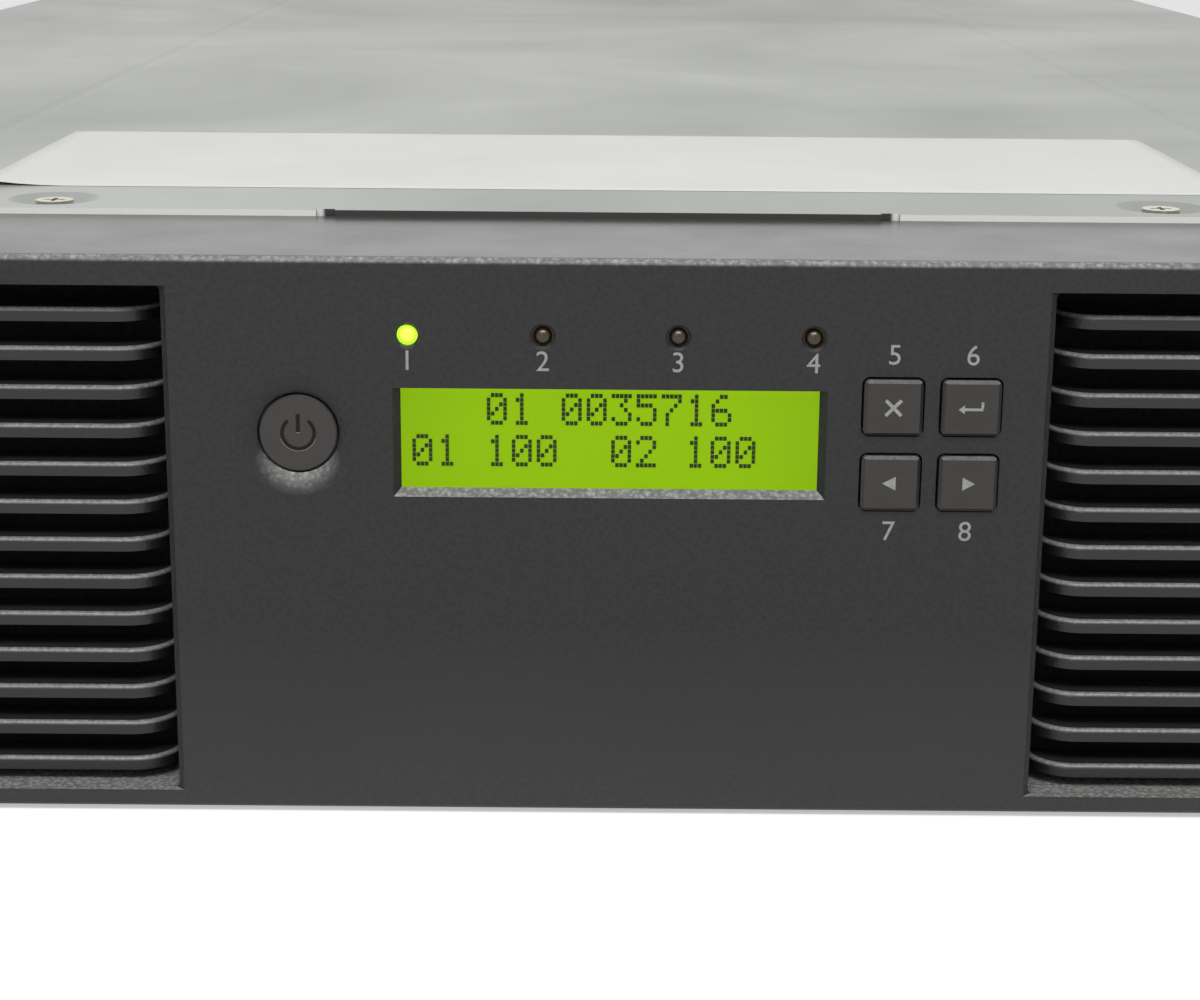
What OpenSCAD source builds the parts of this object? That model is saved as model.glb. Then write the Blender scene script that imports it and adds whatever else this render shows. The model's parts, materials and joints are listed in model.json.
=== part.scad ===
// Rack-mount tape library, two rack units high: two sliding cartridge magazines,
// a picker robot in the lane between them and two tape drives behind it.
// X runs across the front, Y from front to back, Z up. The underside is at Z = 0.

/* [Overall] */
// Depth from the key caps to the rear handles
total_d = 760; // [740:10:800]
// Width over the chassis side walls
body_w = 443; // [440:1:446]
// Height from the underside to the top of the cover
body_h = 87.5; // [87:0.5:90]
// Thickness of the chassis sheet metal
sheet = 1.2; // [1:0.1:1.5]
// Running gap between neighbouring moving pieces
run_gap = 0.3; // [0.2:0.05:0.4]
// Gap left on each side of a shaft in its bore
shaft_gap = 0.08; // [0.05:0.01:0.1]

/* [Bezel] */
// Depth of the front bezel
bezel_d = 40; // [36:1:44]
// How far the bezel stands out past the chassis on each side
bezel_side = 2; // [1:0.5:3]
// Gap from the underside of the chassis to the bezel's lower edge
bezel_lift = 0.8; // [0.4:0.1:1.2]
// Drop from the top of the cover to the top of the bezel
bezel_drop = 1; // [0.5:0.1:1.5]
// Wall thickness of the bezel moulding
bezel_wall = 3; // [2.4:0.1:3.4]
// Radius of the bezel's long front edges
bezel_edge_r = 1.2; // [0.8:0.1:2]
// Half width of the centre panel between the two magazine openings
panel_half_w = 65.3; // [64:0.1:68]
// Height of the magazine opening above the bezel's lower edge
opening_lift = 2.9; // [2.4:0.1:3]
// Height of the rim over the magazine openings
opening_rim = 4.4; // [3.8:0.1:4.4]
// Width of each magazine opening
opening_w = 152.7; // [152:0.1:153]
// Corner radius of the magazine openings
opening_r = 1.2; // [0.6:0.1:2]
// Bevel on the openings' upright edges beside the centre panel
opening_bevel = 0.9; // [0.6:0.1:1.2]

/* [Control panel] */
// Width of the lit display area
display_w = 61.8; // [58:0.1:64]
// Height of the lit display area
display_h = 15.4; // [14:0.1:16]
// Drop from the top of the cover to the middle of the display
display_drop = 28; // [26.5:0.1:29.5]
// Shift of the display to the right of the centre line
display_x = 0.4; // [-1:0.1:1]
// Width of the bevel at the foot and sides of the display opening
display_bevel = 1.1; // [0.6:0.1:1.4]
// Depth of the display glass behind the face
display_recess = 1.5; // [1:0.1:1.8]
// Lamp diameter
lamp_d = 3; // [2.8:0.1:3.4]
// Distance between neighbouring lamps
lamp_pitch = 19.83; // [18:0.01:20.5]
// Drop from the top of the cover to the lamps
lamp_drop = 12.5; // [11.5:0.1:13]
// Radius of the power button
power_r = 5.8; // [5:0.1:6.5]
// Distance of the power button to the left of the centre line
power_x = 45.7; // [45:0.1:47]
// Outer radius of the dish round the power button
dish_r = 9.1; // [8.5:0.1:10]
// Depth of the dish round the power button
dish_depth = 1.4; // [1:0.1:1.6]
// Travel of the power button
power_travel = 1.2; // [0.8:0.1:1.4]
// Width of a key cap
key_w = 8.7; // [8:0.1:9]
// Height of a key cap
key_h = 8.4; // [8:0.1:9]
// Distance between neighbouring keys, across and up
key_pitch = 11.45; // [11.4:0.05:11.8]
// Distance of the left column of keys from the centre line
key_x = 42; // [42:0.1:43]
// Drop from the top of the cover to the lower row of keys
key_drop = 34; // [33.5:0.1:35.5]
// How far the key caps stand out of the face
key_proud = 1; // [0.6:0.1:1.2]
// Bevel round the front of a key cap
key_bevel = 0.5; // [0.3:0.1:0.6]
// Travel of the keys
key_travel = 1.2; // [0.8:0.1:1.4]

/* [Magazines] */
// Number of cartridge columns along each magazine
columns = 4; // [3:1:4]
// Number of cartridge rows
rows = 3; // [3:1:3]
// Length of a cartridge slot along the magazine
slot_len = 107; // [106:0.5:108]
// Gap over a magazine body in its opening
magazine_gap = 1.8; // [1.2:0.1:3]
// Thickness of the dividers between the columns
divider = 4; // [3:0.5:5]
// Thickness of the shelves between the rows
shelf = 1.5; // [1.2:0.1:1.6]
// Thickness of the magazine's floor and roof
mag_plate = 2; // [1.6:0.1:2]
// Thickness of the magazine's outer wall
mag_wall = 2.5; // [2:0.1:3]
// Distance from the centre line to the open side of the magazines
lane_half_w = 97; // [96:0.5:98]
// Width of a magazine body
mag_w = 119; // [118:0.5:119]
// Distance from the face to the front edge of the louvres
louvre_setback = 3.5; // [3:0.1:5]
// Number of louvres
louvres = 13; // [12:1:13]
// Distance between neighbouring louvres
louvre_pitch = 5.877; // [5.6:0.001:5.9]
// Radius of the swept ends of the louvres, and their depth in front of the plate
louvre_r = 7; // [6:0.1:7.5]
// Height of a louvre
louvre_h = 2.1; // [1.8:0.1:2.4]
// Radius of the upper front edge of the louvres
louvre_round = 0.85; // [0.5:0.05:1]
// Drop from the top of a magazine front to its first louvre
louvre_drop = 3.35; // [3:0.05:3.6]
// Thickness of the plate behind the louvres
front_plate = 2; // [1.6:0.1:3]

/* [Picker] */
// Radius of the bearing hole in the carriage
carriage_bore = 84; // [83:0.5:84.5]
// Half width of the carriage
carriage_half_w = 92; // [91.5:0.1:92.2]
// Half length of the carriage's side beams
carriage_half_l = 64; // [62:1:64]
// Thickness of the carriage plate
carriage_t = 4; // [3:0.5:4]
// Height of the rails above the chassis floor
rail_h = 2.7; // [2.5:0.1:2.7]
// Gear module of the rack and its pinion
gear_module = 1.5; // [1.4:0.1:1.6]
// Teeth on the pinion
pinion_teeth = 12; // [12:1:13]
// Width of a tape cartridge
cartridge_w = 105.4; // [105:0.1:105.6]
// Depth of a tape cartridge
cartridge_d = 102; // [101:0.5:102]
// Pitch of the lift screw's thread per turn
lift_pitch = 10; // [6:1:12]
// Travel of the gripper finger
finger_travel = 83; // [70:1:83]

/* [Rear] */
// Width of a tape drive sled
sled_w = 167; // [160:1:168]
// Gap under and over each drive sled
sled_gap = 0.325; // [0.2:0.025:0.6]
// Reach of the sled handles behind the rear panel
handle_reach = 14; // [12:1:16]
// Diameter of the cooling fans in the drive sleds
fan_d = 32; // [28:1:34]
// Diameter of the cooling fan in the power supply
power_fan_d = 38; // [34:1:40]

/* [Rack mounting] */
// Distance between the slots on the two ears
rack_spacing = 465.1; // [465.1:0.1:465.1]
// Distance of the ear slots from the underside and from the top of the cover
slot_edge = 5.65; // [5.65:0.05:5.65]
// Width over both ears
ear_span = 482.6; // [480:0.1:483]
// Thickness of the ears
ear_t = 2; // [1.6:0.1:2.5]

/* [Hidden] */
$fn = 48;

// Main planes, front to back and bottom to top.
tip_y = -total_d / 2;
face_y = tip_y + key_proud;
front_y = face_y + bezel_d;
rear_y = total_d / 2 - handle_reach;
half_w = body_w / 2;
floor_z = sheet;
cover_z = body_h - sheet;
bezel_half_w = half_w + bezel_side;
bezel_z0 = bezel_lift;
bezel_z1 = body_h - bezel_drop;
wall_y = face_y + bezel_wall;
display_z = body_h - display_drop;
lamp_z = body_h - lamp_drop;
key_z = body_h - key_drop;
slot_spacing = body_h - 2 * slot_edge;

// Magazine openings and what fills them.
open_z0 = bezel_z0 + opening_lift;
open_z1 = bezel_z1 - opening_rim;
opening_h = open_z1 - open_z0;
open_x0 = panel_half_w;
open_x1 = open_x0 + opening_w;
runner_z = open_z0 + 0.5;
mag_z0 = runner_z + 0.1;
mag_z1 = open_z1 - magazine_gap;
slot_h = (mag_z1 - mag_z0 - 2 * mag_plate - (rows - 1) * shelf) / rows;
mag_x0 = lane_half_w;
mag_x1 = lane_half_w + mag_w;
row_pitch = slot_h + shelf;
column_pitch = slot_len + divider;
louvre_y = face_y + louvre_setback;
plate_y = louvre_y + louvre_r;
mag_y0 = plate_y + front_plate;
slots_y0 = front_y + 9;
slots_y1 = slots_y0 + columns * slot_len + (columns - 1) * divider;
mag_y1 = slots_y1 + divider;
front_gap = 0.7;
front_x0 = open_x0 + front_gap;
front_x1 = open_x1 - front_gap;
front_z0 = open_z0 + front_gap + 0.1;
front_z1 = open_z1 - front_gap + 0.1;

// Picker: the turntable's centre at rest stands by the rear column of slots.
picker_y = slots_y1 - slot_len / 2;
rail_z = floor_z + rail_h;
carriage_z0 = rail_z + 0.1;
carriage_z1 = carriage_z0 + carriage_t;
collar_r = carriage_bore - run_gap;
flange_r = carriage_bore + 2.5;
flange_z0 = carriage_z1 + 0.1;
flange_z1 = flange_z0 + 1.9;
tray_in = cartridge_w / 2 + 2;
tray_out = tray_in + sheet;
tray_len = cartridge_d;
tray_z1 = mag_z0 + mag_plate;
tray_z0 = tray_z1 - sheet;
tray_wall_z = tray_z1 + slot_h - 1;
frame_x0 = tray_out + 1.1;
frame_x1 = frame_x0 + 3;
frame_half_l = 45;
frame_drop = 6.3;
frame_z1 = cover_z - frame_drop;
screw_x = frame_x1 + 3;
screw_r = 2;
arm_z = tray_z1 + 14;
arm_h = 6;
arm_l = 12;
lift_travel = (rows - 1) * row_pitch;
finger_t = 1.3;
finger_x = tray_in - 0.2 - finger_t;
finger_len = 56;

// Rack and pinion under the left beam, friction wheel on the right beam.
pinion_r = gear_module * pinion_teeth / 2;
gear_add = gear_module * 0.66;
gear_ded = gear_module * 1.2;
backlash = 0.35;
pressure = 20;
tooth_pitch = PI * gear_module;
lip_x = carriage_half_w + run_gap;
lip_t = 1.5;
pitch_x = lip_x - gear_ded;
pinion_x = pitch_x - pinion_r;
motor_y = 54;
motor_r = 8;
motor_h = 22;
motor_shaft_r = 2;
wheel_x = 78;
wheel_r = sqrt(wheel_x * wheel_x + motor_y * motor_y) - flange_r - 0.1;
rail_end_y = picker_y + carriage_half_w;

// Drives and the rear.
cage_x = sled_w / 2 + run_gap;
drive_y0 = picker_y + carriage_half_w + 1.5;
sled_h = (cover_z - floor_z - sheet) / 2 - 2 * sled_gap;
lower_z = floor_z + sled_gap;
cage_shelf_z = lower_z + sled_h + sled_gap;
upper_z = cage_shelf_z + sheet + sled_gap;
panel_y = rear_y - sheet;
mouth_w = cartridge_w + 3;
mouth_h = 24;
mouth_d = 112;
mouth_lid = 6.3;
mouth_up = sled_h - mouth_h - mouth_lid;
door_t = 1.5;
door_pin_r = 1;
sled_plate = 1.2;
sled_flange_x = cage_x + 8.5;
thumb_x = cage_x + 5;
fan_x = -45;
grip_x = 35;
grip_w = 60;
supply_x0 = lane_half_w;
supply_x1 = half_w - sheet - 2;
supply_y0 = mag_y1 + 46;
supply_lid = 23.1;
supply_h = cover_z - floor_z - supply_lid;
supply_fan_x = 140;
supply_fan_lift = 3.8;
supply_fan_z = floor_z + supply_h / 2 + supply_fan_lift;
inlet_x = 192;
inlet_z = supply_fan_z + 4;
inlet_w = 27;
inlet_h = 20;
supply_back_y = rear_y;
board_z = 9;
board_t = 1.6;
board_w = 112;
board_l = 157;
board_x0 = -half_w + 7.5;
board_x1 = board_x0 + board_w;
board_y1 = panel_y - 1;
board_y0 = board_y1 - board_l;
port_x = -190;
port2_x = -158;
port_w = 16;
port_h = 14;
port_d = 18;

// Bay of the rear panel that holds the plates round the two ports.
port_bay_x0 = board_x0 - 3;
port_bay_x1 = board_x1 + 3;
port_bay_h = 44;
port_split_x = (port_x + port2_x) / 2;

// Latches behind the magazines.
latch_x = 150;
latch_pin_r = 2.5;
latch_arm = 26;
latch_pin_y = mag_y1 + latch_arm;
latch_z = 40;
latch_t = 4;
latch_open = 15;

// Fasteners.
cover_screw_x = 91.5;
cover_screw_y = front_y + 11;
dimple_r = 7.5;
dimple_deep = 2;
screw_head_r = 3.1;
screw_head_h = 1.8;
shank_r = 1.5;
crossbar_z = cover_z - dimple_deep;
crossbar_d = 20;

// ---------- shared shapes ----------
module block(x, y, z)
    translate([x[0], y[0], z[0]])
        cube([x[1] - x[0], y[1] - y[0], z[1] - z[0]]);

// A flat outline in X and Z, given thickness from y0 back to y1.
module along_y(y0, y1)
    translate([0, y1, 0])
        rotate([90, 0, 0])
            linear_extrude(y1 - y0)
                children();

// A flat outline in Y and Z, given length from x0 to x1.
module along_x(x0, x1)
    translate([x0, 0, 0])
        rotate([90, 0, 90])
            linear_extrude(x1 - x0)
                children();

module rounded(w, h, r) {
    square([w - 2 * r, h], center = true);
    square([w, h - 2 * r], center = true);
    for (x = [-1, 1], z = [-1, 1])
        translate([x * (w / 2 - r), z * (h / 2 - r)])
            circle(r);
}

module slot_outline(len, w)
    rounded(w, len, w / 2 - 0.001);

module both_sides()
    for (side = [0, 1])
        mirror([side, 0, 0])
            children();

module y_rod(r, y0, y1, x = 0, z = 0)
    translate([x, y1, z])
        rotate([90, 0, 0])
            cylinder(r = r, h = y1 - y0);

module x_rod(r, x0, x1, y = 0, z = 0)
    translate([x0, y, z])
        rotate([0, 90, 0])
            cylinder(r = r, h = x1 - x0);

// ---------- chassis ----------
module base_tray()
    color([0.62, 0.63, 0.62]) {
        difference() {
            union() {
                block([-half_w, half_w], [front_y, panel_y], [0, sheet]);
                both_sides()
                    block([half_w - sheet, half_w], [front_y, panel_y], [0, cover_z]);
            }
            side_vents();
            both_sides()
                for (y = ear_screw_ys)
                    x_rod(shank_r + 0.1, half_w - sheet - 1, half_w + 1, y, ear_screw_z);
        }
        for (x = board_posts_x, y = board_posts_y)
            translate([x, y, floor_z])
                cylinder(r = 3, h = board_z - floor_z);
    }

vent_count = 9;
vent_pitch = 12;
module side_vents()
    both_sides()
        for (i = [0 : vent_count - 1])
            along_x(half_w - sheet - 1, half_w + 1)
                translate([supply_y0 + 40 + i * vent_pitch, body_h / 2])
                    slot_outline(44, 5);

swage_x = 125;
swage_w = 5;
swage_deep = 0.3;
swage_r = (swage_w * swage_w / 4 + swage_deep * swage_deep) / (2 * swage_deep);
notch_x = 45.5;
notch_w = 3;
notch_d = 1.2;
flap_h = 4.5;
rear_screw_x = 150;
rear_screw_y = panel_y - 12;

module dimple_cut(x, y)
    translate([x, y, body_h - dimple_deep])
        cylinder(r1 = dimple_r - 3, r2 = dimple_r + 0.1, h = dimple_deep + 0.05);

module dimple_boss(x, y)
    translate([x, y, cover_z - dimple_deep])
        cylinder(r1 = dimple_r - 2.4, r2 = dimple_r + 0.6, h = dimple_deep);

module cover_screw_places()
    both_sides() {
        translate([cover_screw_x, cover_screw_y, 0])
            children();
        translate([rear_screw_x, rear_screw_y, 0])
            children();
    }

module top_cover()
    color([0.70, 0.72, 0.70])
        difference() {
            union() {
                block([-half_w, half_w], [front_y, panel_y], [cover_z, body_h]);
                both_sides()
                    block([half_w - 2 * sheet, half_w - sheet],
                          [front_y + crossbar_d + 2, panel_y - 2], [cover_z - 8, cover_z]);
                block([-notch_x + notch_w / 2, notch_x - notch_w / 2],
                      [front_y, front_y + sheet], [cover_z - flap_h + 1.2, cover_z]);
                cover_screw_places()
                    dimple_boss(0, 0);
            }
            cover_screw_places() {
                dimple_cut(0, 0);
                translate([0, 0, crossbar_z])
                    cylinder(r = shank_r + 0.1, h = body_h);
            }
            both_sides() {
                block([notch_x - notch_w / 2, notch_x + notch_w / 2],
                      [front_y - 1, front_y + notch_d], [cover_z - 1, body_h + 1]);
                y_rod(swage_r, front_y + 30, panel_y - 30,
                      swage_x, body_h + swage_r - swage_deep);
            }
        }

module cover_screws()
    color([0.75, 0.75, 0.74])
        cover_screw_places()
            translate([0, 0, body_h - dimple_deep])
                difference() {
                    union() {
                        cylinder(r = screw_head_r, h = screw_head_h);
                        translate([0, 0, -4.5])
                            cylinder(r = shank_r, h = 5);
                    }
                    translate([0, 0, screw_head_h]) {
                        cube([3.4, 0.7, 2], center = true);
                        cube([0.7, 3.4, 2], center = true);
                    }
                }

module front_crossbar()
    color([0.55, 0.56, 0.55])
        difference() {
            union() {
                block([-half_w + sheet, half_w - sheet],
                      [front_y + sheet + 0.3, front_y + crossbar_d],
                      [crossbar_z - sheet, crossbar_z]);
                both_sides()
                    block([half_w - 2 * sheet, half_w - sheet],
                          [front_y + sheet + 0.3, front_y + crossbar_d],
                          [crossbar_z - 8, crossbar_z]);
            }
            both_sides()
                translate([cover_screw_x, cover_screw_y, crossbar_z - sheet - 1])
                    cylinder(r = shank_r + 0.1, h = sheet + 2);
        }

// Holes through which a rod releases the magazine latches.
release_r = 3;
release_x = latch_x + 10;
release_z = cover_z - 10.3;
module rear_panel()
    color([0.60, 0.61, 0.60]) {
        difference() {
            along_y(panel_y, rear_y)
                translate([0, body_h / 2])
                    square([body_w, body_h], center = true);
            block([-cage_x, cage_x], [panel_y - 1, rear_y + 1],
                  [lower_z - 0.1, upper_z + sled_h + 0.1]);
            both_sides()
                for (z = [lower_z, upper_z])
                    y_rod(shank_r + 0.1, panel_y - 1, rear_y + 1, thumb_x, z + sled_h / 2);
            // bays for the power supply and the port plates
            block([supply_x0 - run_gap, supply_x1 + run_gap], [panel_y - 1, rear_y + 1],
                  [floor_z, floor_z + supply_h + run_gap]);
            block([port_bay_x0, port_bay_x1], [panel_y - 1, rear_y + 1],
                  [floor_z, floor_z + port_bay_h]);
            both_sides()
                y_rod(release_r, panel_y - 1, rear_y + 1, release_x, release_z);
        }
        both_sides()
            rear_screw_tab();
    }

module rear_screw_tab()
    difference() {
        block([rear_screw_x - 12, rear_screw_x + 12], [rear_screw_y - 10, panel_y],
              [crossbar_z - sheet, crossbar_z]);
        translate([rear_screw_x, rear_screw_y, crossbar_z - sheet - 1])
            cylinder(r = shank_r + 0.1, h = sheet + 2);
    }

// ---------- rack ears ----------
ear_side_l = 50;
ear_z0 = 0.5;
ear_z1 = body_h - 2 * ear_z0;
ear_screw_z = body_h / 2;
ear_screw_ys = [front_y + 14, front_y + 40];
ear_slot_w = 7;
ear_slot_l = 10;

module rack_ear()
    color([0.60, 0.61, 0.60])
        difference() {
            union() {
                block([half_w, ear_span / 2], [front_y, front_y + ear_t], [ear_z0, ear_z1]);
                block([half_w, half_w + ear_t], [front_y, front_y + ear_side_l],
                      [ear_z0, ear_z1]);
            }
            for (z = [-1, 1])
                along_y(front_y - 1, front_y + ear_t + 1)
                    translate([rack_spacing / 2, body_h / 2 + z * slot_spacing / 2])
                        rotate([0, 0, 90])
                            slot_outline(ear_slot_l, ear_slot_w);
            for (y = ear_screw_ys)
                x_rod(shank_r + 0.1, half_w - 1, half_w + ear_t + 1, y, ear_screw_z);
        }

module left_rack_ear()
    mirror([1, 0, 0])
        rack_ear();

module right_rack_ear()
    rack_ear();

module ear_screws()
    color([0.75, 0.75, 0.74])
        both_sides()
            for (y = ear_screw_ys) {
                x_rod(screw_head_r, half_w + ear_t, half_w + ear_t + 2, y, ear_screw_z);
                x_rod(shank_r, half_w - sheet - 1, half_w + ear_t, y, ear_screw_z);
            }

// ---------- bezel and control panel ----------
display_open_z0 = display_z - display_h / 2 - display_bevel;
display_open_z1 = display_z + display_h / 2;
window_t = 1.2;
module_w = 71;
module_h = 23.6;
board_front_y = wall_y + 4.5;
board_back_y = board_front_y + board_t;
lamp_xs = [for (i = [-1.5 : 1 : 1.5]) display_x + i * lamp_pitch];
flange_t = 0.9;
key_flange = 1;
boss_x = 58.5;
boss_zs = [46, 79.4];
boss_r = 2;
tunnel_d = 20;
tunnel_wall = 2.3;

// Outer shape of the bezel from the side: both long front edges are rounded.
module bezel_side_outline() {
    r = bezel_edge_r;
    h = bezel_z1 - bezel_z0;
    translate([face_y + r, bezel_z0])
        square([bezel_d - r, h]);
    translate([face_y, bezel_z0 + r])
        square([2 * r, h - 2 * r]);
    for (z = [bezel_z0 + r, bezel_z1 - r])
        translate([face_y + r, z])
            circle(r);
}

// The opening for the display narrows from the face to the glass.
module display_cut() {
    back_y = face_y + display_recess;
    half = display_w / 2;
    wide = half + display_bevel;
    intersection() {
        translate([0, 0, display_open_z0 - 1])
            linear_extrude(display_open_z1 - display_open_z0 + 2)
                polygon([
                    [display_x - wide, face_y], [display_x + wide, face_y],
                    [display_x + half, back_y], [display_x - half, back_y]
                ]);
        along_x(display_x - wide - 1, display_x + wide + 1)
            polygon([
                [face_y, display_open_z0], [back_y, display_open_z0 + display_bevel],
                [back_y, display_open_z1], [face_y, display_open_z1]
            ]);
    }
}

module upright_bevel()
    translate([0, 0, open_z0])
        linear_extrude(opening_h)
            polygon([
                [open_x0 - opening_bevel - 1, face_y - 1], [open_x0 + 1, face_y - 1],
                [open_x0 + 1, face_y + opening_bevel + 1]
            ]);

// Cut for the dish: its wall curves over from the face down to the button's hole.
dish_w = dish_r - power_r - run_gap;
dish_slope = 10;
dish_fall = 2 * atan(dish_depth / dish_w) - dish_slope;
dish_round = dish_w / (sin(dish_fall) - sin(dish_slope));
module dish_section()
    difference() {
        translate([0, -1])
            square([dish_r + 0.2, dish_depth + 1]);
        translate([dish_r + dish_round * sin(dish_slope), dish_round * cos(dish_slope)])
            circle(dish_round);
    }

module front_bezel()
    color([0.20, 0.20, 0.20])
        difference() {
            union() {
                difference() {
                    along_x(-bezel_half_w, bezel_half_w)
                        bezel_side_outline();
                    // hollow behind the centre panel
                    block([-panel_half_w + tunnel_wall, panel_half_w - tunnel_wall],
                          [wall_y, front_y + 1],
                          [bezel_z0 + 2.4, bezel_z1 - bezel_wall]);
                    both_sides() {
                        // opening that the magazine slides through
                        along_y(face_y - 1, front_y + 1)
                            translate([(open_x0 + open_x1) / 2, (open_z0 + open_z1) / 2])
                                rounded(opening_w, opening_h, opening_r);
                        upright_bevel();
                        // the walls between the two are short
                        block([panel_half_w - tunnel_wall - 1, panel_half_w + 1],
                              [face_y + tunnel_d, front_y + 1], [open_z0, open_z1]);
                    }
                }
                both_sides()
                    for (z = boss_zs)
                        y_rod(boss_r, wall_y - 0.5, board_front_y, boss_x, z);
            }
            display_cut();
            // pocket for the window
            block([display_x - module_w / 2, display_x + module_w / 2],
                  [face_y + display_recess, wall_y + 0.5],
                  [display_z - module_h / 2, display_z + module_h / 2]);
            for (x = lamp_xs) {
                y_rod(lamp_d / 2 + 0.05, face_y - 1, wall_y + 1, x, lamp_z);
                translate([x, face_y, lamp_z])
                    rotate([-90, 0, 0])
                        cylinder(r1 = lamp_d / 2 + 0.45, r2 = lamp_d / 2, h = 0.45);
            }
            y_rod(power_r + run_gap, face_y - 1, wall_y + 1, -power_x, display_z + 0.5);
            translate([-power_x, face_y, display_z + 0.5])
                rotate([-90, 0, 0])
                    rotate_extrude()
                        dish_section();
            for (i = [0, 1], j = [0, 1])
                along_y(face_y - 1, wall_y + 1)
                    translate([key_x + i * key_pitch, key_z + j * key_pitch])
                        rounded(key_w + 2 * run_gap, key_h + 2 * run_gap, 1.2);
            both_sides()
                for (z = boss_zs)
                    y_rod(0.9, board_front_y - 3.5, board_front_y + 1, boss_x, z);
        }

module display_window()
    color([0.75, 0.85, 0.75, 0.4])
        block([display_x - module_w / 2 + 0.2, display_x + module_w / 2 - 0.2],
              [face_y + display_recess, face_y + display_recess + window_t],
              [display_z - module_h / 2 + 0.2, display_z + module_h / 2 - 0.2]);

module display_module()
    color([0.55, 0.78, 0.05])
        difference() {
            block([display_x - module_w / 2 + 0.2, display_x + module_w / 2 - 0.2],
                  [face_y + display_recess + window_t, board_front_y],
                  [display_z - module_h / 2 + 0.2, display_z + module_h / 2 - 0.2]);
            // the metal frame stands round the lit glass
            block([display_x - display_w / 2 - 1, display_x + display_w / 2 + 1],
                  [face_y + display_recess, face_y + display_recess + window_t + 0.3],
                  [display_z - display_h / 2 - 1, display_z + display_h / 2 + 1]);
        }

switch_w = 6;
socket_w = 20;
panel_board_z0 = display_z - 16;
panel_board_z1 = lamp_z + 6.8;
module panel_board()
    color([0.10, 0.32, 0.18])
        difference() {
            union() {
                block([-panel_half_w + tunnel_wall + 1, panel_half_w - tunnel_wall - 1],
                      [board_front_y, board_back_y], [panel_board_z0, panel_board_z1]);
                for (i = [0, 1], j = [0, 1])
                    translate([key_x + i * key_pitch, 0, key_z + j * key_pitch])
                        block([-switch_w / 2, switch_w / 2],
                              [board_front_y - 2.2, board_front_y + 0.1],
                              [-switch_w / 2, switch_w / 2]);
                block([-power_x - switch_w / 2, -power_x + switch_w / 2],
                      [board_front_y - 2.2, board_front_y + 0.1],
                      [display_z + 0.5 - switch_w / 2, display_z + 0.5 + switch_w / 2]);
                block([-socket_w / 2, socket_w / 2], [board_back_y - 0.1, board_back_y + 5],
                      [panel_board_z0 + 3.5, panel_board_z0 + 8.5]);
            }
            both_sides()
                for (z = boss_zs)
                    y_rod(1.1, board_front_y - 1, board_back_y + 1, boss_x, z);
        }

module board_screws()
    color([0.72, 0.72, 0.70])
        both_sides()
            for (z = boss_zs) {
                y_rod(2, board_back_y, board_back_y + 1.4, boss_x, z);
                y_rod(0.85, board_front_y - 3, board_back_y, boss_x, z);
            }

module lamp(index)
    translate([lamp_xs[index], 0, lamp_z]) {
        r = lamp_d / 2;
        y_rod(r, face_y + 1, wall_y + 1, 0, 0);
        translate([0, wall_y + 0.2, 0])
            rotate([-90, 0, 0])
                cylinder(r = r + 0.4, h = board_front_y - wall_y - 0.2);
        intersection() {
            translate([0, face_y + r, 0])
                sphere(r);
            block([-r, r], [face_y, face_y + 1], [-r, r]);
        }
    }

module ready_lamp()
    color([0.80, 1.0, 0.25])
        lamp(0);

module clean_lamp()
    color([0.35, 0.25, 0.08])
        lamp(1);

module attention_lamp()
    color([0.35, 0.25, 0.08])
        lamp(2);

module error_lamp()
    color([0.35, 0.25, 0.08])
        lamp(3);

// A pressed key: a cap in its hole, a flange behind the wall and a short stem.
button_deep = dish_depth - 0.3;
module power_button()
    color([0.26, 0.26, 0.25])
        translate([-power_x, 0, display_z + 0.5]) {
            y_rod(power_r, face_y + button_deep + 0.2, wall_y + 0.5);
            translate([0, face_y + button_deep, 0])
                rotate([-90, 0, 0])
                    cylinder(r1 = power_r - 0.2, r2 = power_r, h = 0.2);
            y_rod(power_r + 1.2, wall_y + 0.1, wall_y + 0.1 + flange_t);
        }

// A key cap from above or from the side: half is half its width or height.
function bevelled(half) = [
    [-half + key_bevel, tip_y], [half - key_bevel, tip_y], [half, tip_y + key_bevel],
    [half, wall_y + 1], [-half, wall_y + 1], [-half, tip_y + key_bevel]
];

module key(i, j)
    color([0.21, 0.20, 0.19])
        translate([key_x + i * key_pitch, 0, key_z + j * key_pitch])
            difference() {
                union() {
                    intersection() {
                        along_y(tip_y, wall_y + 0.5)
                            rounded(key_w, key_h, 1);
                        along_x(-key_w, key_w)
                            polygon([for (p = bevelled(key_h / 2)) [p[1], p[0]]]);
                        translate([0, 0, -key_h])
                            linear_extrude(2 * key_h)
                                polygon(bevelled(key_w / 2));
                    }
                    along_y(wall_y + 0.1, wall_y + 0.1 + flange_t)
                        rounded(key_w + 2 * key_flange, key_h + 2 * key_flange, 1);
                }
                translate([0, tip_y - 22.3, 0])
                    sphere(r = 22.6, $fn = 64);
            }

module previous_key()
    key(0, 0);

module next_key()
    key(1, 0);

module cancel_key()
    key(0, 1);

module enter_key()
    key(1, 1);

// ---------- magazines ----------
runner_w = 10;
module magazine_runners()
    color([0.25, 0.25, 0.26])
        both_sides()
            for (x = [mag_x0 + 3, mag_x1 - runner_w - 2])
                block([x, x + runner_w], [front_y + 1, mag_y1 + 2], [floor_z, runner_z]);

// One louvre seen from its end: u is the distance from the centre of the swept end.
module louvre_section(depth) {
    translate([louvre_r - depth, -louvre_h]) {
        square([depth - louvre_round, louvre_h]);
        square([depth, louvre_h - louvre_round]);
    }
    translate([louvre_r - louvre_round, -louvre_round])
        circle(louvre_round);
}

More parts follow.
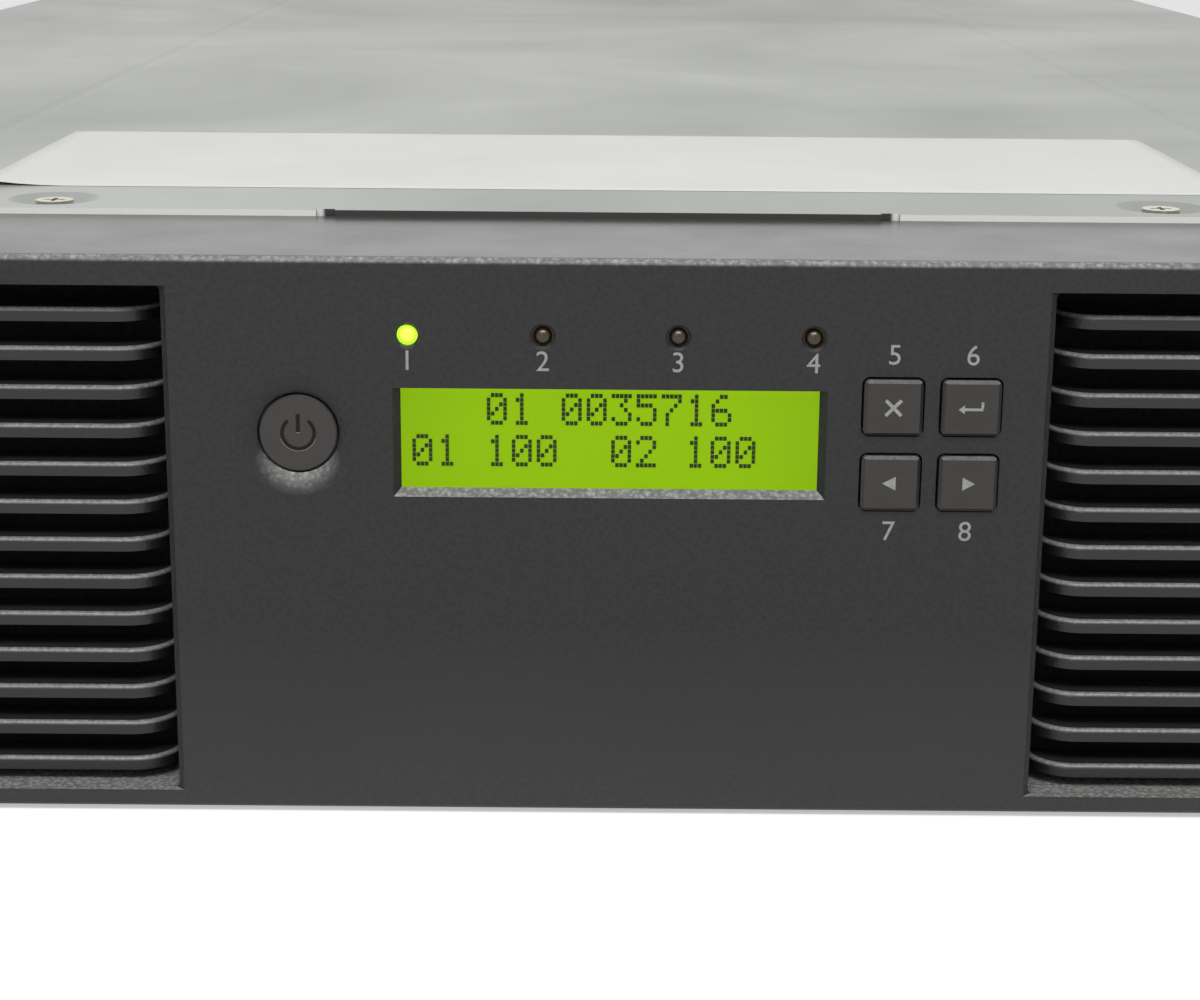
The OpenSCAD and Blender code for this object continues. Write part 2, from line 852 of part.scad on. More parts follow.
module louvre(z) {
    straight_x0 = front_x0 + louvre_r;
    straight_x1 = front_x1 - louvre_r;
    translate([0, louvre_y + louvre_r, z]) {
        translate([straight_x0, 0, 0])
            rotate([90, 0, 90])
                linear_extrude(straight_x1 - straight_x0)
                    mirror([1, 0, 0])
                        louvre_section(louvre_r);
        translate([straight_x0, 0, 0])
            rotate([0, 0, 180])
                rotate_extrude(angle = 90)
                    louvre_section(louvre_r - 0.6);
        translate([straight_x1, 0, 0])
            rotate([0, 0, 270])
                rotate_extrude(angle = 90)
                    louvre_section(louvre_r - 0.6);
    }
}

module magazine_front()
    color([0.17, 0.17, 0.17]) {
        block([front_x0, front_x1], [plate_y - 0.01, mag_y0], [front_z0, front_z1]);
        for (i = [0 : louvres - 1])
            louvre(front_z1 - louvre_drop - i * louvre_pitch);
    }

window_w = 70;
window_h = 12;
module magazine_body()
    color([0.30, 0.31, 0.33]) {
        difference() {
            block([mag_x0, mag_x1], [mag_y0, mag_y1], [mag_z0, mag_z1]);
            block([mag_x0 - 1, mag_x1 - mag_wall], [slots_y0, slots_y1],
                  [mag_z0 + mag_plate, mag_z1 - mag_plate]);
            block([mag_x0 - 1, mag_x1 - mag_wall], [mag_y0 + divider, slots_y0 - divider],
                  [mag_z0 + mag_plate, mag_z1 - mag_plate]);
            for (c = [0 : columns - 1], r = [0 : rows - 1])
                along_x(mag_x1 - mag_wall - 1, mag_x1 + 1)
                    translate([slots_y0 + slot_len / 2 + c * column_pitch,
                               mag_z0 + mag_plate + slot_h / 2 + r * row_pitch])
                        rounded(window_w, window_h, 3);
        }
        latch_strike();
    }

// Strike on the magazine's rear wall: a spacer and a plate that the latch closes behind.
strike_neck = 3;
strike_head = 9;
strike_reach = 6;
strike_t = 2.5;
strike_lap = 5;
seat_gap = 0.05;
module latch_strike() {
    block([latch_x - strike_x - strike_neck / 2, latch_x - strike_x + strike_neck / 2],
          [mag_y1 + seat_gap, mag_y1 + strike_reach - seat_gap],
          [latch_z - strike_lap, latch_z + latch_t + strike_lap]);
    block([latch_x - strike_x - strike_head / 2, latch_x - strike_x + strike_head / 2],
          [mag_y1 + strike_reach, mag_y1 + strike_reach + strike_t],
          [latch_z - strike_lap, latch_z + latch_t + strike_lap]);
}

module magazine_shelves()
    color([0.30, 0.31, 0.33])
        for (r = [1 : rows - 1])
            block([mag_x0 + 1, mag_x1 - mag_wall], [slots_y0, slots_y1],
                  [mag_z0 + mag_plate + r * row_pitch - shelf,
                   mag_z0 + mag_plate + r * row_pitch]);

module magazine_dividers()
    color([0.30, 0.31, 0.33])
        for (c = [1 : columns - 1], r = [0 : rows - 1])
            block([mag_x0 + 1, mag_x1 - mag_wall],
                  [slots_y0 + c * column_pitch - divider, slots_y0 + c * column_pitch],
                  [mag_z0 + mag_plate + r * row_pitch,
                   mag_z0 + mag_plate + r * row_pitch + slot_h]);

module on_left()
    mirror([1, 0, 0])
        children();

// ---------- latches ----------
arm_w = 6;
strike_x = 14;
hook_reach = strike_x - strike_neck / 2 - 0.5;
hook_y = latch_arm - strike_reach + 0.6;
hook_t = 2.7;
// The lever lies along Y; the origin is its pin, and it is drawn released.
module latch()
    color([0.72, 0.73, 0.72])
        translate([latch_x, latch_pin_y, latch_z])
            rotate([0, 0, latch_open])
                difference() {
                    union() {
                        cylinder(r = 6, h = latch_t);
                        block([-arm_w, 0], [-hook_y - hook_t, 0], [0, latch_t]);
                        block([-hook_reach, 0], [-hook_y - hook_t, -hook_y], [0, latch_t]);
                    }
                    translate([0, 0, -1])
                        cylinder(r = latch_pin_r + shaft_gap, h = latch_t + 2);
                }

module latch_brackets()
    color([0.62, 0.63, 0.62])
        both_sides()
            translate([latch_x, latch_pin_y, 0]) {
                block([-10, 10], [-7, 9], [floor_z, floor_z + 2]);
                translate([0, 0, floor_z + 1])
                    cylinder(r = 5, h = latch_z - floor_z - 1.1);
                translate([0, 0, latch_z - 1])
                    cylinder(r = latch_pin_r, h = latch_t + 3);
                translate([0, 0, latch_z + latch_t + 0.2])
                    cylinder(r = latch_pin_r + 1.5, h = 1.2);
            }

// ---------- picker ----------
module carriage_rail()
    color([0.60, 0.61, 0.62])
        along_y(front_y + 1, rail_end_y)
            polygon([
                [lip_x - 6, floor_z], [lip_x + lip_t, floor_z],
                [lip_x + lip_t, carriage_z1], [lip_x, carriage_z1],
                [lip_x, rail_z], [lip_x - 6, rail_z]
            ]);

// Rack tooth as a trapezium; y is measured from the middle of the tooth.
function rack_tooth(y) =
    let (half = tooth_pitch / 4 - backlash / 2, slope = tan(pressure))
    [
        [-lip_x, y - half - gear_ded * slope],
        [-pitch_x + gear_add, y - half + gear_add * slope],
        [-pitch_x + gear_add, y + half - gear_add * slope],
        [-lip_x, y + half + gear_ded * slope]
    ];

rack_teeth_back = floor((rail_end_y - 4 - picker_y - motor_y) / tooth_pitch);
rack_teeth_front = floor((picker_y + motor_y - front_y - 6) / tooth_pitch);
module gear_rack()
    color([0.20, 0.20, 0.22]) {
        block([-lip_x - lip_t, -lip_x], [front_y + 1, rail_end_y], [floor_z, carriage_z1]);
        translate([0, 0, floor_z])
            linear_extrude(rail_h)
                polygon(concat(
                    [[-lip_x - lip_t / 2, front_y + 2]],
                    [for (k = [-rack_teeth_front : rack_teeth_back - 1])
                        each rack_tooth(picker_y + motor_y + (k + 0.5) * tooth_pitch)],
                    [[-lip_x - lip_t / 2, rail_end_y - 1]]
                ));
    }

// Involute flank: half angle of a tooth at radius r.
function involute(a) = tan(a) * 180 / PI - a;
function tooth_half(r, base) =
    90 / pinion_teeth - backlash / 2 / pinion_r * 180 / PI + involute(pressure)
    - involute(acos(min(1, base / max(r, base))));
function pinion_outline() =
    let (
        base = pinion_r * cos(pressure),
        root = pinion_r - gear_ded,
        tip = pinion_r + gear_add,
        radii = [root, base, (base + tip) / 2, tip]
    )
    [
        for (k = [0 : pinion_teeth - 1])
            for (s = [-3 : 4])
                let (
                    r = s <= 0 ? radii[s + 3] : radii[4 - s],
                    side = s <= 0 ? -1 : 1,
                    a = k * 360 / pinion_teeth + side * tooth_half(r, base)
                )
                [r * cos(a), r * sin(a)]
    ];

module rack_pinion()
    color([0.85, 0.83, 0.75])
        translate([-pinion_x, picker_y + motor_y, 0]) {
            translate([0, 0, floor_z + 0.5])
                linear_extrude(rail_h - 0.7)
                    polygon(pinion_outline());
            translate([0, 0, floor_z + 1])
                cylinder(r = motor_shaft_r, h = carriage_z1 + 6 - floor_z);
        }

module carriage()
    color([0.16, 0.16, 0.17])
        translate([0, picker_y, carriage_z0])
            difference() {
                union() {
                    cylinder(r = carriage_half_w, h = carriage_t, $fn = 96);
                    block([-carriage_half_w, carriage_half_w],
                          [-carriage_half_l, carriage_half_l], [0, carriage_t]);
                }
                translate([0, 0, -1])
                    cylinder(r = carriage_bore, h = carriage_t + 2, $fn = 96);
                translate([-pinion_x, motor_y, -1])
                    cylinder(r = motor_shaft_r + shaft_gap, h = carriage_t + 2);
            }

module carriage_motor()
    color([0.70, 0.70, 0.68])
        translate([-pinion_x, picker_y + motor_y, carriage_z1])
            difference() {
                union() {
                    cylinder(r = motor_r, h = motor_h);
                    translate([0, 0, motor_h - 0.1])
                        cylinder(r = motor_r - 3, h = 3);
                }
                translate([0, 0, -1])
                    cylinder(r = motor_shaft_r + shaft_gap, h = 9);
            }

wheel_gap = 0.3;
module friction_wheel()
    color([0.12, 0.12, 0.12])
        translate([wheel_x, picker_y - motor_y, 0]) {
            translate([0, 0, flange_z0 + 0.1])
                cylinder(r = wheel_r, h = flange_z1 - flange_z0 - 0.1);
            translate([0, 0, flange_z1 - 0.5])
                cylinder(r = motor_shaft_r, h = 8);
        }

module rotation_motor()
    color([0.70, 0.70, 0.68])
        translate([wheel_x, picker_y - motor_y, 0])
            difference() {
                union() {
                    translate([0, 0, flange_z1 + wheel_gap])
                        cylinder(r = motor_r, h = motor_h);
                    block([0, 13], [-5, 5], [flange_z1 + 10, flange_z1 + motor_h]);
                    block([wheel_r + 0.5, 13], [-5, 5], [carriage_z1, flange_z1 + 11]);
                }
                translate([0, 0, flange_z1])
                    cylinder(r = motor_shaft_r + shaft_gap, h = 9);
            }

screw_foot_z = flange_z1 + 0.6;
screw_boss_r = 4;
screw_boss_h = 6;
bridge_half_l = 12;
bridge_t = 1.5;
side_window_y = 27;
side_window_w = 24;
module turntable()
    color([0.22, 0.22, 0.24])
        translate([0, picker_y, 0])
            difference() {
                union() {
                    difference() {
                        union() {
                            translate([0, 0, carriage_z0 + 0.2])
                                cylinder(r = collar_r, h = flange_z0 - carriage_z0, $fn = 96);
                            translate([0, 0, flange_z0])
                                cylinder(r = flange_r, h = flange_z1 - flange_z0, $fn = 96);
                        }
                        // the tray sinks through the disc to reach the lowest row
                        block([-frame_x0 + run_gap, frame_x0 - run_gap],
                              [-tray_len / 2 - 1, tray_len / 2 + 1], [0, 30]);
                    }
                    both_sides()
                        block([frame_x0, frame_x1], [-frame_half_l, frame_half_l],
                              [flange_z0, frame_z1]);
                    block([-frame_x1, frame_x1], [-bridge_half_l, bridge_half_l],
                          [frame_z1 - bridge_t, frame_z1]);
                    block([frame_x1 - 1, screw_x + screw_boss_r],
                          [-screw_boss_r - 1, screw_boss_r + 1],
                          [frame_z1 - 2 * bridge_t, frame_z1]);
                    translate([screw_x, 0, flange_z0])
                        cylinder(r = screw_boss_r, h = screw_boss_h);
                }
                both_sides()
                    along_x(frame_x0 - 1, frame_x1 + 1)
                        translate([0, (arm_z + frame_z1) / 2 - bridge_t - 1])
                            square([arm_l + 2 * run_gap, frame_z1 - 2 * bridge_t - arm_z + 1],
                                   center = true);
                // lightening windows beside the guide slot
                both_sides()
                    for (y = [-side_window_y, side_window_y])
                        along_x(frame_x0 - 1, frame_x1 + 1)
                            translate([y, (flange_z1 + frame_z1) / 2 - 1])
                                rounded(side_window_w, frame_z1 - flange_z1 - 26, 5);
                translate([screw_x, 0, screw_foot_z])
                    cylinder(r = screw_r + shaft_gap, h = 100);
            }

module barcode_reader()
    color([0.13, 0.13, 0.14])
        translate([-frame_x1, picker_y, 0])
            difference() {
                block([-6, 0], [6.5, 15], [40, 62]);
                block([-4.5, -1.5], [14, 16], [43, 59]);
            }

module lift_screw()
    color([0.78, 0.78, 0.76])
        translate([screw_x, picker_y, screw_foot_z + 0.1]) {
            cylinder(r = screw_r, h = frame_z1 - screw_foot_z - 0.5);
            translate([0, 0, flange_z0 + screw_boss_h + 0.2 - screw_foot_z])
                cylinder(r = screw_x - frame_x1 - run_gap, h = 1);
        }

module cartridge_tray()
    color([0.32, 0.33, 0.35])
        translate([0, picker_y, 0])
            difference() {
                union() {
                    block([-tray_out, tray_out], [-tray_len / 2, tray_len / 2],
                          [tray_z0, tray_z1]);
                    both_sides() {
                        block([tray_in, tray_out], [-tray_len / 2, tray_len / 2],
                              [tray_z0, tray_wall_z]);
                        block([tray_in, screw_x + screw_boss_r + 0.5], [-arm_l / 2, arm_l / 2],
                              [arm_z, arm_z + arm_h]);
                    }
                    block([-tray_out, tray_out], [-tray_len / 2, -tray_len / 2 + sheet],
                          [tray_z0, tray_z1 + 6]);
                }
                translate([screw_x, 0, 0])
                    cylinder(r = screw_r + shaft_gap, h = 100);
                // windows in the tray floor
                for (x = [-26, 26])
                    translate([x, 0, tray_z0 - 1])
                        linear_extrude(5)
                            rounded(34, 70, 6);
            }

module gripper_finger()
    color([0.80, 0.80, 0.78])
        translate([0, picker_y, 0]) {
            block([finger_x, finger_x + finger_t],
                  [tray_len / 2 - 43 - finger_len, tray_len / 2 - 43],
                  [tray_z1 + 4, tray_z1 + 12]);
            block([finger_x - 2, finger_x + 0.1],
                  [tray_len / 2 - 46, tray_len / 2 - 43],
                  [tray_z1 + 4, tray_z1 + 12]);
        }

// ---------- drives ----------
module drive_cage()
    color([0.58, 0.59, 0.58]) {
        both_sides()
            block([cage_x, cage_x + sheet], [drive_y0, panel_y], [floor_z, cover_z]);
        block([-cage_x, cage_x], [drive_y0, panel_y], [cage_shelf_z, cage_shelf_z + sheet]);
    }

door_z = mouth_up + mouth_h - 1.6;
module fan_hole_pattern(r) {
    difference() {
        circle(r);
        difference() {
            circle(r * 0.66);
            circle(r * 0.56);
        }
        square([2 * r + 2, 2], center = true);
        square([2, 2 * r + 2], center = true);
        circle(r * 0.25);
    }
}

fan_depth = 16;
module drive_sled()
    color([0.66, 0.67, 0.66])
        difference() {
            union() {
                block([-sled_w / 2, sled_w / 2], [drive_y0, rear_y], [0, sled_h]);
                block([-sled_flange_x, sled_flange_x], [rear_y, rear_y + sled_plate],
                      [0.3, sled_h - 0.3]);
                sled_handle();
                y_rod(1.5, rear_y - fan_depth - 0.1, rear_y - 2, fan_x, sled_h / 2);
            }
            // loading slot for a cartridge
            block([-mouth_w / 2, mouth_w / 2], [drive_y0 - 1, drive_y0 + mouth_d],
                  [mouth_up, mouth_up + mouth_h]);
            x_rod(door_pin_r + shaft_gap, -mouth_w / 2 - 3, mouth_w / 2 + 3,
                  drive_y0 + 2.5, door_z);
            difference() {
                y_rod(fan_d / 2 + 0.5, rear_y - fan_depth, rear_y + 0.01, fan_x, sled_h / 2);
                y_rod(1.5, rear_y - fan_depth - 1, rear_y - 2, fan_x, sled_h / 2);
            }
            along_y(rear_y - 0.5, rear_y + sled_plate + 1)
                translate([fan_x, sled_h / 2])
                    fan_hole_pattern(fan_d / 2);
            // data socket
            block([-16, 10], [rear_y - 12, rear_y + sled_plate + 1], [8, 11.8]);
            both_sides()
                y_rod(shank_r + 0.1, rear_y - 1, rear_y + sled_plate + 1, thumb_x, sled_h / 2);
        }

module sled_handle()
    difference() {
        along_y(rear_y + sled_plate - 0.1, total_d / 2)
            translate([grip_x, sled_h - 11])
                rounded(grip_w, 7, 2);
        block([grip_x - grip_w / 2 + 6, grip_x + grip_w / 2 - 6],
              [rear_y + sled_plate, total_d / 2 - 4], [0, sled_h]);
    }

module drive_door()
    color([0.12, 0.12, 0.13])
        translate([0, drive_y0 + 2.5, 0]) {
            block([-mouth_w / 2 + 0.4, mouth_w / 2 - 0.4], [-door_t / 2, door_t / 2],
                  [mouth_up + 0.6, door_z]);
            x_rod(door_pin_r, -mouth_w / 2 - 2.5, mouth_w / 2 + 2.5, 0, door_z);
        }

module fan_rotor(r, depth) {
    difference() {
        union() {
            rotate([90, 0, 0])
                cylinder(r = r * 0.38, h = depth, center = true);
            intersection() {
                rotate([90, 0, 0])
                    cylinder(r = r - 0.8, h = depth, center = true);
                for (i = [0 : 6])
                    rotate([0, i * 360 / 7, 0])
                        translate([r * 0.3, 0, 0])
                            rotate([35, 0, 0])
                                translate([0, -r * 0.4, -0.6])
                                    cube([r * 0.8, r * 0.8, 1.2]);
            }
        }
        rotate([90, 0, 0])
            cylinder(r = 1.5 + shaft_gap, h = depth + 2, center = true);
    }
}

fan_rotor_d = 9;
module drive_fan()
    color([0.10, 0.10, 0.10])
        translate([fan_x, rear_y - 3 - fan_rotor_d / 2, sled_h / 2])
            fan_rotor(fan_d / 2, fan_rotor_d);

thumb_r = 4.2;
thumb_l = 6;
module thumb_screws()
    color([0.75, 0.75, 0.73])
        both_sides() {
            y_rod(thumb_r, rear_y + sled_plate, rear_y + sled_plate + thumb_l,
                  thumb_x, sled_h / 2);
            y_rod(shank_r, panel_y - 3, rear_y + sled_plate, thumb_x, sled_h / 2);
        }

module at_height(z)
    translate([0, 0, z])
        children();

// ---------- power supply and controller ----------
supply_fan_depth = 18;
module power_supply()
    color([0.63, 0.64, 0.63])
        difference() {
            union() {
                block([supply_x0, supply_x1], [supply_y0, supply_back_y], [floor_z, floor_z + supply_h]);
                y_rod(1.5, supply_back_y - supply_fan_depth - 0.1, supply_back_y - 2,
                      supply_fan_x, supply_fan_z);
            }
            difference() {
                y_rod(power_fan_d / 2 + 0.5, supply_back_y - supply_fan_depth, supply_back_y - 1,
                      supply_fan_x, supply_fan_z);
                y_rod(1.5, supply_back_y - supply_fan_depth - 1, supply_back_y - 2,
                      supply_fan_x, supply_fan_z);
            }
            along_y(supply_back_y - 1.5, supply_back_y + 1)
                translate([supply_fan_x, supply_fan_z])
                    fan_hole_pattern(power_fan_d / 2);
            block([inlet_x - inlet_w / 2 + 0.5, inlet_x + inlet_w / 2 - 0.5],
                  [supply_back_y - 24, supply_back_y + 1],
                  [inlet_z - inlet_h / 2 + 0.5, inlet_z + inlet_h / 2 - 0.5]);
            for (i = [0 : 7])
                block([supply_x0 - 1, supply_x0 + 3],
                      [supply_y0 + 20 + i * 12, supply_y0 + 26 + i * 12],
                      [floor_z + 12, floor_z + supply_h - 12]);
        }

module power_supply_fan()
    color([0.10, 0.10, 0.10])
        translate([supply_fan_x, supply_back_y - 4 - fan_rotor_d / 2, supply_fan_z])
            fan_rotor(power_fan_d / 2, fan_rotor_d);

// Three-pin appliance inlet: a shroud with two cut corners and three flat pins.
module power_inlet()
    color([0.08, 0.08, 0.08])
        translate([inlet_x, 0, inlet_z]) {
            difference() {
                union() {
                    along_y(supply_back_y - 22, supply_back_y)
                        square([inlet_w - 1.2, inlet_h - 1.2], center = true);
                    along_y(supply_back_y, supply_back_y + 2)
                        rounded(inlet_w + 4, inlet_h + 5, 2);
                }
                along_y(supply_back_y - 15, supply_back_y + 3)
                    polygon([
                        [-11, -7.5], [11, -7.5], [11, 3.5], [7, 7.5], [-7, 7.5], [-11, 3.5]
                    ]);
            }
            for (p = [[-7, -1.5], [7, -1.5], [0, 2.5]])
                block([p[0] - 1, p[0] + 1], [supply_back_y - 15.1, supply_back_y - 2], [p[1] - 2, p[1] + 2]);
        }

board_posts_x = [board_x0 + 6, board_x1 - 6];
board_posts_y = [board_y0 + 8, board_y1 - 39];
chip_w = 30;
chip_t = 6;
capacitor_r = 5;
capacitor_h = 12;
module controller_board()
    color([0.10, 0.32, 0.18]) {
        block([board_x0, board_x1], [board_y0, board_y1], [board_z, board_z + board_t]);
        translate([board_x0 + board_w * 0.57, board_y0 + board_l * 0.3, board_z + board_t])
            block([-chip_w / 2, chip_w / 2], [-chip_w / 2, chip_w / 2], [-0.1, chip_t]);
        for (i = [0 : 3])
            translate([board_x1 - 2 * capacitor_r,
                       board_y0 + board_l * 0.18 + i * 3.2 * capacitor_r,
                       board_z + board_t - 0.1])
                cylinder(r = capacitor_r, h = capacitor_h + 0.1);
    }

// A port's shell and its half of the plate that fills the bay are one piece.
module port_plate(x0, x1, x)
    difference() {
        union() {
            block([x0, x1], [panel_y, rear_y], [floor_z, floor_z + port_bay_h - run_gap]);
            block([x - port_w / 2 + 0.3, x + port_w / 2 - 0.3],
                  [rear_y - port_d, rear_y + 0.6],
                  [board_z + board_t, board_z + board_t + port_h - 0.3]);
        }
        block([x - port_w / 2 + 1.8, x + port_w / 2 - 1.8],
              [rear_y - port_d + 3, rear_y + 1],
              [board_z + board_t + 2, board_z + board_t + port_h - 2.3]);
    }

module controller_ports()
    color([0.72, 0.73, 0.72]) {
        port_plate(port_bay_x0 + run_gap, port_split_x - run_gap / 2, port_x);
        port_plate(port_split_x + run_gap / 2, port_bay_x1 - run_gap, port2_x);
    }

base_tray();
top_cover();
cover_screws();
front_crossbar();
rear_panel();
left_rack_ear();
right_rack_ear();
ear_screws();
front_bezel();
display_window();
display_module();
panel_board();
board_screws();
ready_lamp();
clean_lamp();
attention_lamp();
error_lamp();
power_button();
cancel_key();
enter_key();
previous_key();
next_key();
magazine_runners();
on_left() magazine_front();  // left_magazine_front
on_left() magazine_body();  // left_magazine_body
on_left() magazine_shelves();  // left_magazine_shelves
on_left() magazine_dividers();  // left_magazine_dividers
magazine_front();  // right_magazine_front
magazine_body();  // right_magazine_body
magazine_shelves();  // right_magazine_shelves
magazine_dividers();  // right_magazine_dividers
latch_brackets();
on_left() latch();  // left_latch
latch();  // right_latch
carriage_rail();
gear_rack();
carriage();
carriage_motor();
rack_pinion();
rotation_motor();
friction_wheel();
turntable();
barcode_reader();
lift_screw();
cartridge_tray();
gripper_finger();
drive_cage();
at_height(lower_z) drive_sled();  // lower_drive
at_height(lower_z) drive_door();  // lower_drive_door
at_height(lower_z) drive_fan();  // lower_drive_fan
at_height(lower_z) thumb_screws();  // lower_thumb_screws
at_height(upper_z) drive_sled();  // upper_drive
at_height(upper_z) drive_door();  // upper_drive_door
at_height(upper_z) drive_fan();  // upper_drive_fan
at_height(upper_z) thumb_screws();  // upper_thumb_screws
power_supply();
power_supply_fan();
power_inlet();
controller_board();
controller_ports();
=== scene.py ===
"""Finish for a two-unit rack tape library: materials, printed marks and fine fittings."""

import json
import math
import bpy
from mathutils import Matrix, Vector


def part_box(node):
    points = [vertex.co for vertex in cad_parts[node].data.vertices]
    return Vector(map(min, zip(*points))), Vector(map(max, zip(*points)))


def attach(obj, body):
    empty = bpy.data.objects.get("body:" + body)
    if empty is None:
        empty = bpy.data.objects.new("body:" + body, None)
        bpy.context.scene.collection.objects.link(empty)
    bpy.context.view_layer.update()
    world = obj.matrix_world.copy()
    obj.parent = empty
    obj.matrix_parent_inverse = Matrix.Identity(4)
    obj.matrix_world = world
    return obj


bl_info = {
    "name": "Tape library finish",
    "version": (1, 0, 0),
    "blender": (4, 5, 0),
    "location": "3D View > Sidebar > Tape Library",
    "description": "Dresses the packed tape library with materials, marks and small fittings",
    "category": "Object",
}

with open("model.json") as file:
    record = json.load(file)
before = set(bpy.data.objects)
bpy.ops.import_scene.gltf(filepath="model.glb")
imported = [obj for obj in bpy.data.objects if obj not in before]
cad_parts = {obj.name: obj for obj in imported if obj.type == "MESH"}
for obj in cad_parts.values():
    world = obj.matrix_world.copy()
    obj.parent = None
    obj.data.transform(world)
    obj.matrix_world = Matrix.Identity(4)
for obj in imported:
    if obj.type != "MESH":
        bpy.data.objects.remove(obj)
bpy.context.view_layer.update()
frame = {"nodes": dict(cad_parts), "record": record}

import bmesh
import bpy
from bpy.props import FloatProperty, FloatVectorProperty, IntProperty, PointerProperty, StringProperty
from mathutils import Matrix, Vector

MM = 0.001


def srgb(red, green, blue):
    """Linear colour with alpha 1 from 0-255 screen values."""
    def channel(value):
        value /= 255
        return value / 12.92 if value <= 0.04045 else ((value + 0.055) / 1.055) ** 2.4
    return (channel(red), channel(green), channel(blue), 1.0)


def middle(node):
    """Middle point of a CAD node's box."""
    low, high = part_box(node)
    return (low + high) / 2


# ---------- settings ----------
# Short forms of the properties used below.
def length(name, description, default, least=0.0, most=1.0):
    return FloatProperty(name=name, description=description, default=default, min=least, max=most,
                         unit="LENGTH", subtype="DISTANCE", precision=5)


def colour(name, description, default):
    return FloatVectorProperty(name=name, description=description, default=default, size=4,
                               min=0.0, max=1.0, subtype="COLOR")


def share(name, description, default, most=1.0):
    return FloatProperty(name=name, description=description, default=default, min=0.0, max=most,
                         subtype="FACTOR")


def place(name, description, default):
    return FloatVectorProperty(name=name, description=description, default=default, size=3,
                               unit="LENGTH", subtype="TRANSLATION")


def turned(name, description, degrees):
    return FloatVectorProperty(name=name, description=description, size=3, unit="ROTATION",
                               subtype="EULER", default=tuple(map(math.radians, degrees)))


class TapeLibraryStage(bpy.types.PropertyGroup):
    lens: FloatProperty(name="Lens", description="Focal length of the camera in millimetres",
                        default=70.39, min=20.0, max=200.0)
    camera_back: length("Camera distance", "From the bezel's face to the camera", 0.33634, 0.1, 3.0)
    camera_up: length("Camera height", "Above the underside of the chassis", 0.14207, 0.0, 3.0)
    camera_side: length("Camera side shift", "From the middle, to the right", -0.00142, -1.0, 1.0)
    pitch: FloatProperty(name="Pitch", description="How far the camera looks down",
                         default=math.radians(15.242), subtype="ANGLE", unit="ROTATION")
    roll: FloatProperty(name="Roll", description="Tilt of the camera about its line of sight",
                        default=math.radians(0.488), subtype="ANGLE", unit="ROTATION")
    yaw: FloatProperty(name="Yaw", description="Turn of the camera to the right",
                       default=math.radians(0.079), subtype="ANGLE", unit="ROTATION")
    overhead_power: FloatProperty(name="Overhead power", description="Power of the softbox above",
                                  default=11.5, min=0.0, unit="POWER")
    overhead_place: place("Overhead place", "Softbox above, from the bezel's face at floor level",
                          (0.0, -0.74, 1.025))
    overhead_turn: turned("Overhead turn", "Turn of the softbox above", (38, 0, 0))
    overhead_width: length("Overhead width", "Width of the softbox above", 1.1, most=5.0)
    overhead_depth: length("Overhead depth", "Depth of the softbox above", 0.34, most=5.0)
    front_power: FloatProperty(name="Front power", description="Power of the softbox in front",
                               default=1.5, min=0.0, unit="POWER")
    front_place: place("Front place", "Softbox in front, from the bezel's face at floor level",
                       (-0.5, -1.3, 0.75))
    front_turn: turned("Front turn", "Turn of the softbox in front", (68, 0, -20))
    front_width: length("Front width", "Width of the softbox in front", 1.0, most=5.0)
    front_depth: length("Front depth", "Depth of the softbox in front", 0.7, most=5.0)
    room_light: share("Room light", "Strength of the light from all round", 0.34, 2.0)
    floor_colour: colour("Floor colour", "Colour of the floor", (0.80, 0.80, 0.80, 1.0))


class TapeLibraryPanel(bpy.types.PropertyGroup):
    first_row: StringProperty(name="First row", description="Digits of the display's first row",
                              default="   01 0035716   ")
    second_row: StringProperty(name="Second row", description="Digits of the display's second row",
                               default="01 100  02 100  ")
    display_half_width: length("Display half width", "Half the width of the lit area", 30.9 * MM)
    display_half_height: length("Display half height", "Half the height of the lit area", 7.7 * MM)
    column_pitch: length("Column pitch", "Distance between neighbouring characters", 3.70 * MM)
    row_pitch: length("Row pitch", "Distance between the two rows", 6.35 * MM)
    first_column: length("First column", "From the display's left edge to its first dots", 1.55 * MM)
    first_dots: length("First dots", "From the display's top edge to its first dots", 1.25 * MM)
    dot_pitch_x: length("Dot pitch across", "Distance between dots across", 0.61 * MM)
    dot_pitch_z: length("Dot pitch up", "Distance between dots up", 0.70 * MM)
    dot_gap: length("Dot gap", "Gap between neighbouring dots", 0.07 * MM)
    dot_setback: length("Dot setback", "From the window's back to the dots", 0.12 * MM)
    dot_thickness: length("Dot thickness", "Thickness of the dots", 0.1 * MM)
    digit_height: length("Digit height", "Height of the printed digits", 3.0 * MM)
    lamp_digit_drop: length("Lamp digit drop", "From a lamp's middle to its digit's middle", 3.8 * MM)
    key_digit_gap: length("Key digit gap", "From a key's middle to its digit's middle", 7.65 * MM)
    mark_raise: length("Print thickness", "How far printed marks stand off", 0.03 * MM)
    key_dish: length("Key dish", "Depth of the dish in a key's cap", 0.3 * MM)
    dish_radius: length("Key dish radius", "Radius of the ball that the dish is part of", 22.6 * MM)
    louvre_pitch: length("Louvre pitch", "Distance between neighbouring louvres", 5.877 * MM)
    louvre_drop: length("Louvre drop", "From a front's top edge to its first louvre", 3.35 * MM)
    louvre_height: length("Louvre height", "Height of one louvre", 2.1 * MM)
    louvre_depth: length("Louvre depth", "From the louvres' front to their plate", 7 * MM)
    # the screens are dark sheets standing in for the shade in the gaps between the louvres
    screen_lift: length("Screen lift", "From the louvres' plate to the screens' front", 0.12 * MM)
    screen_thickness: length("Screen thickness", "Thickness of the screens", 0.1 * MM)
    louvres: IntProperty(name="Louvres", description="Louvres of one magazine front", default=13,
                         min=1, max=20)


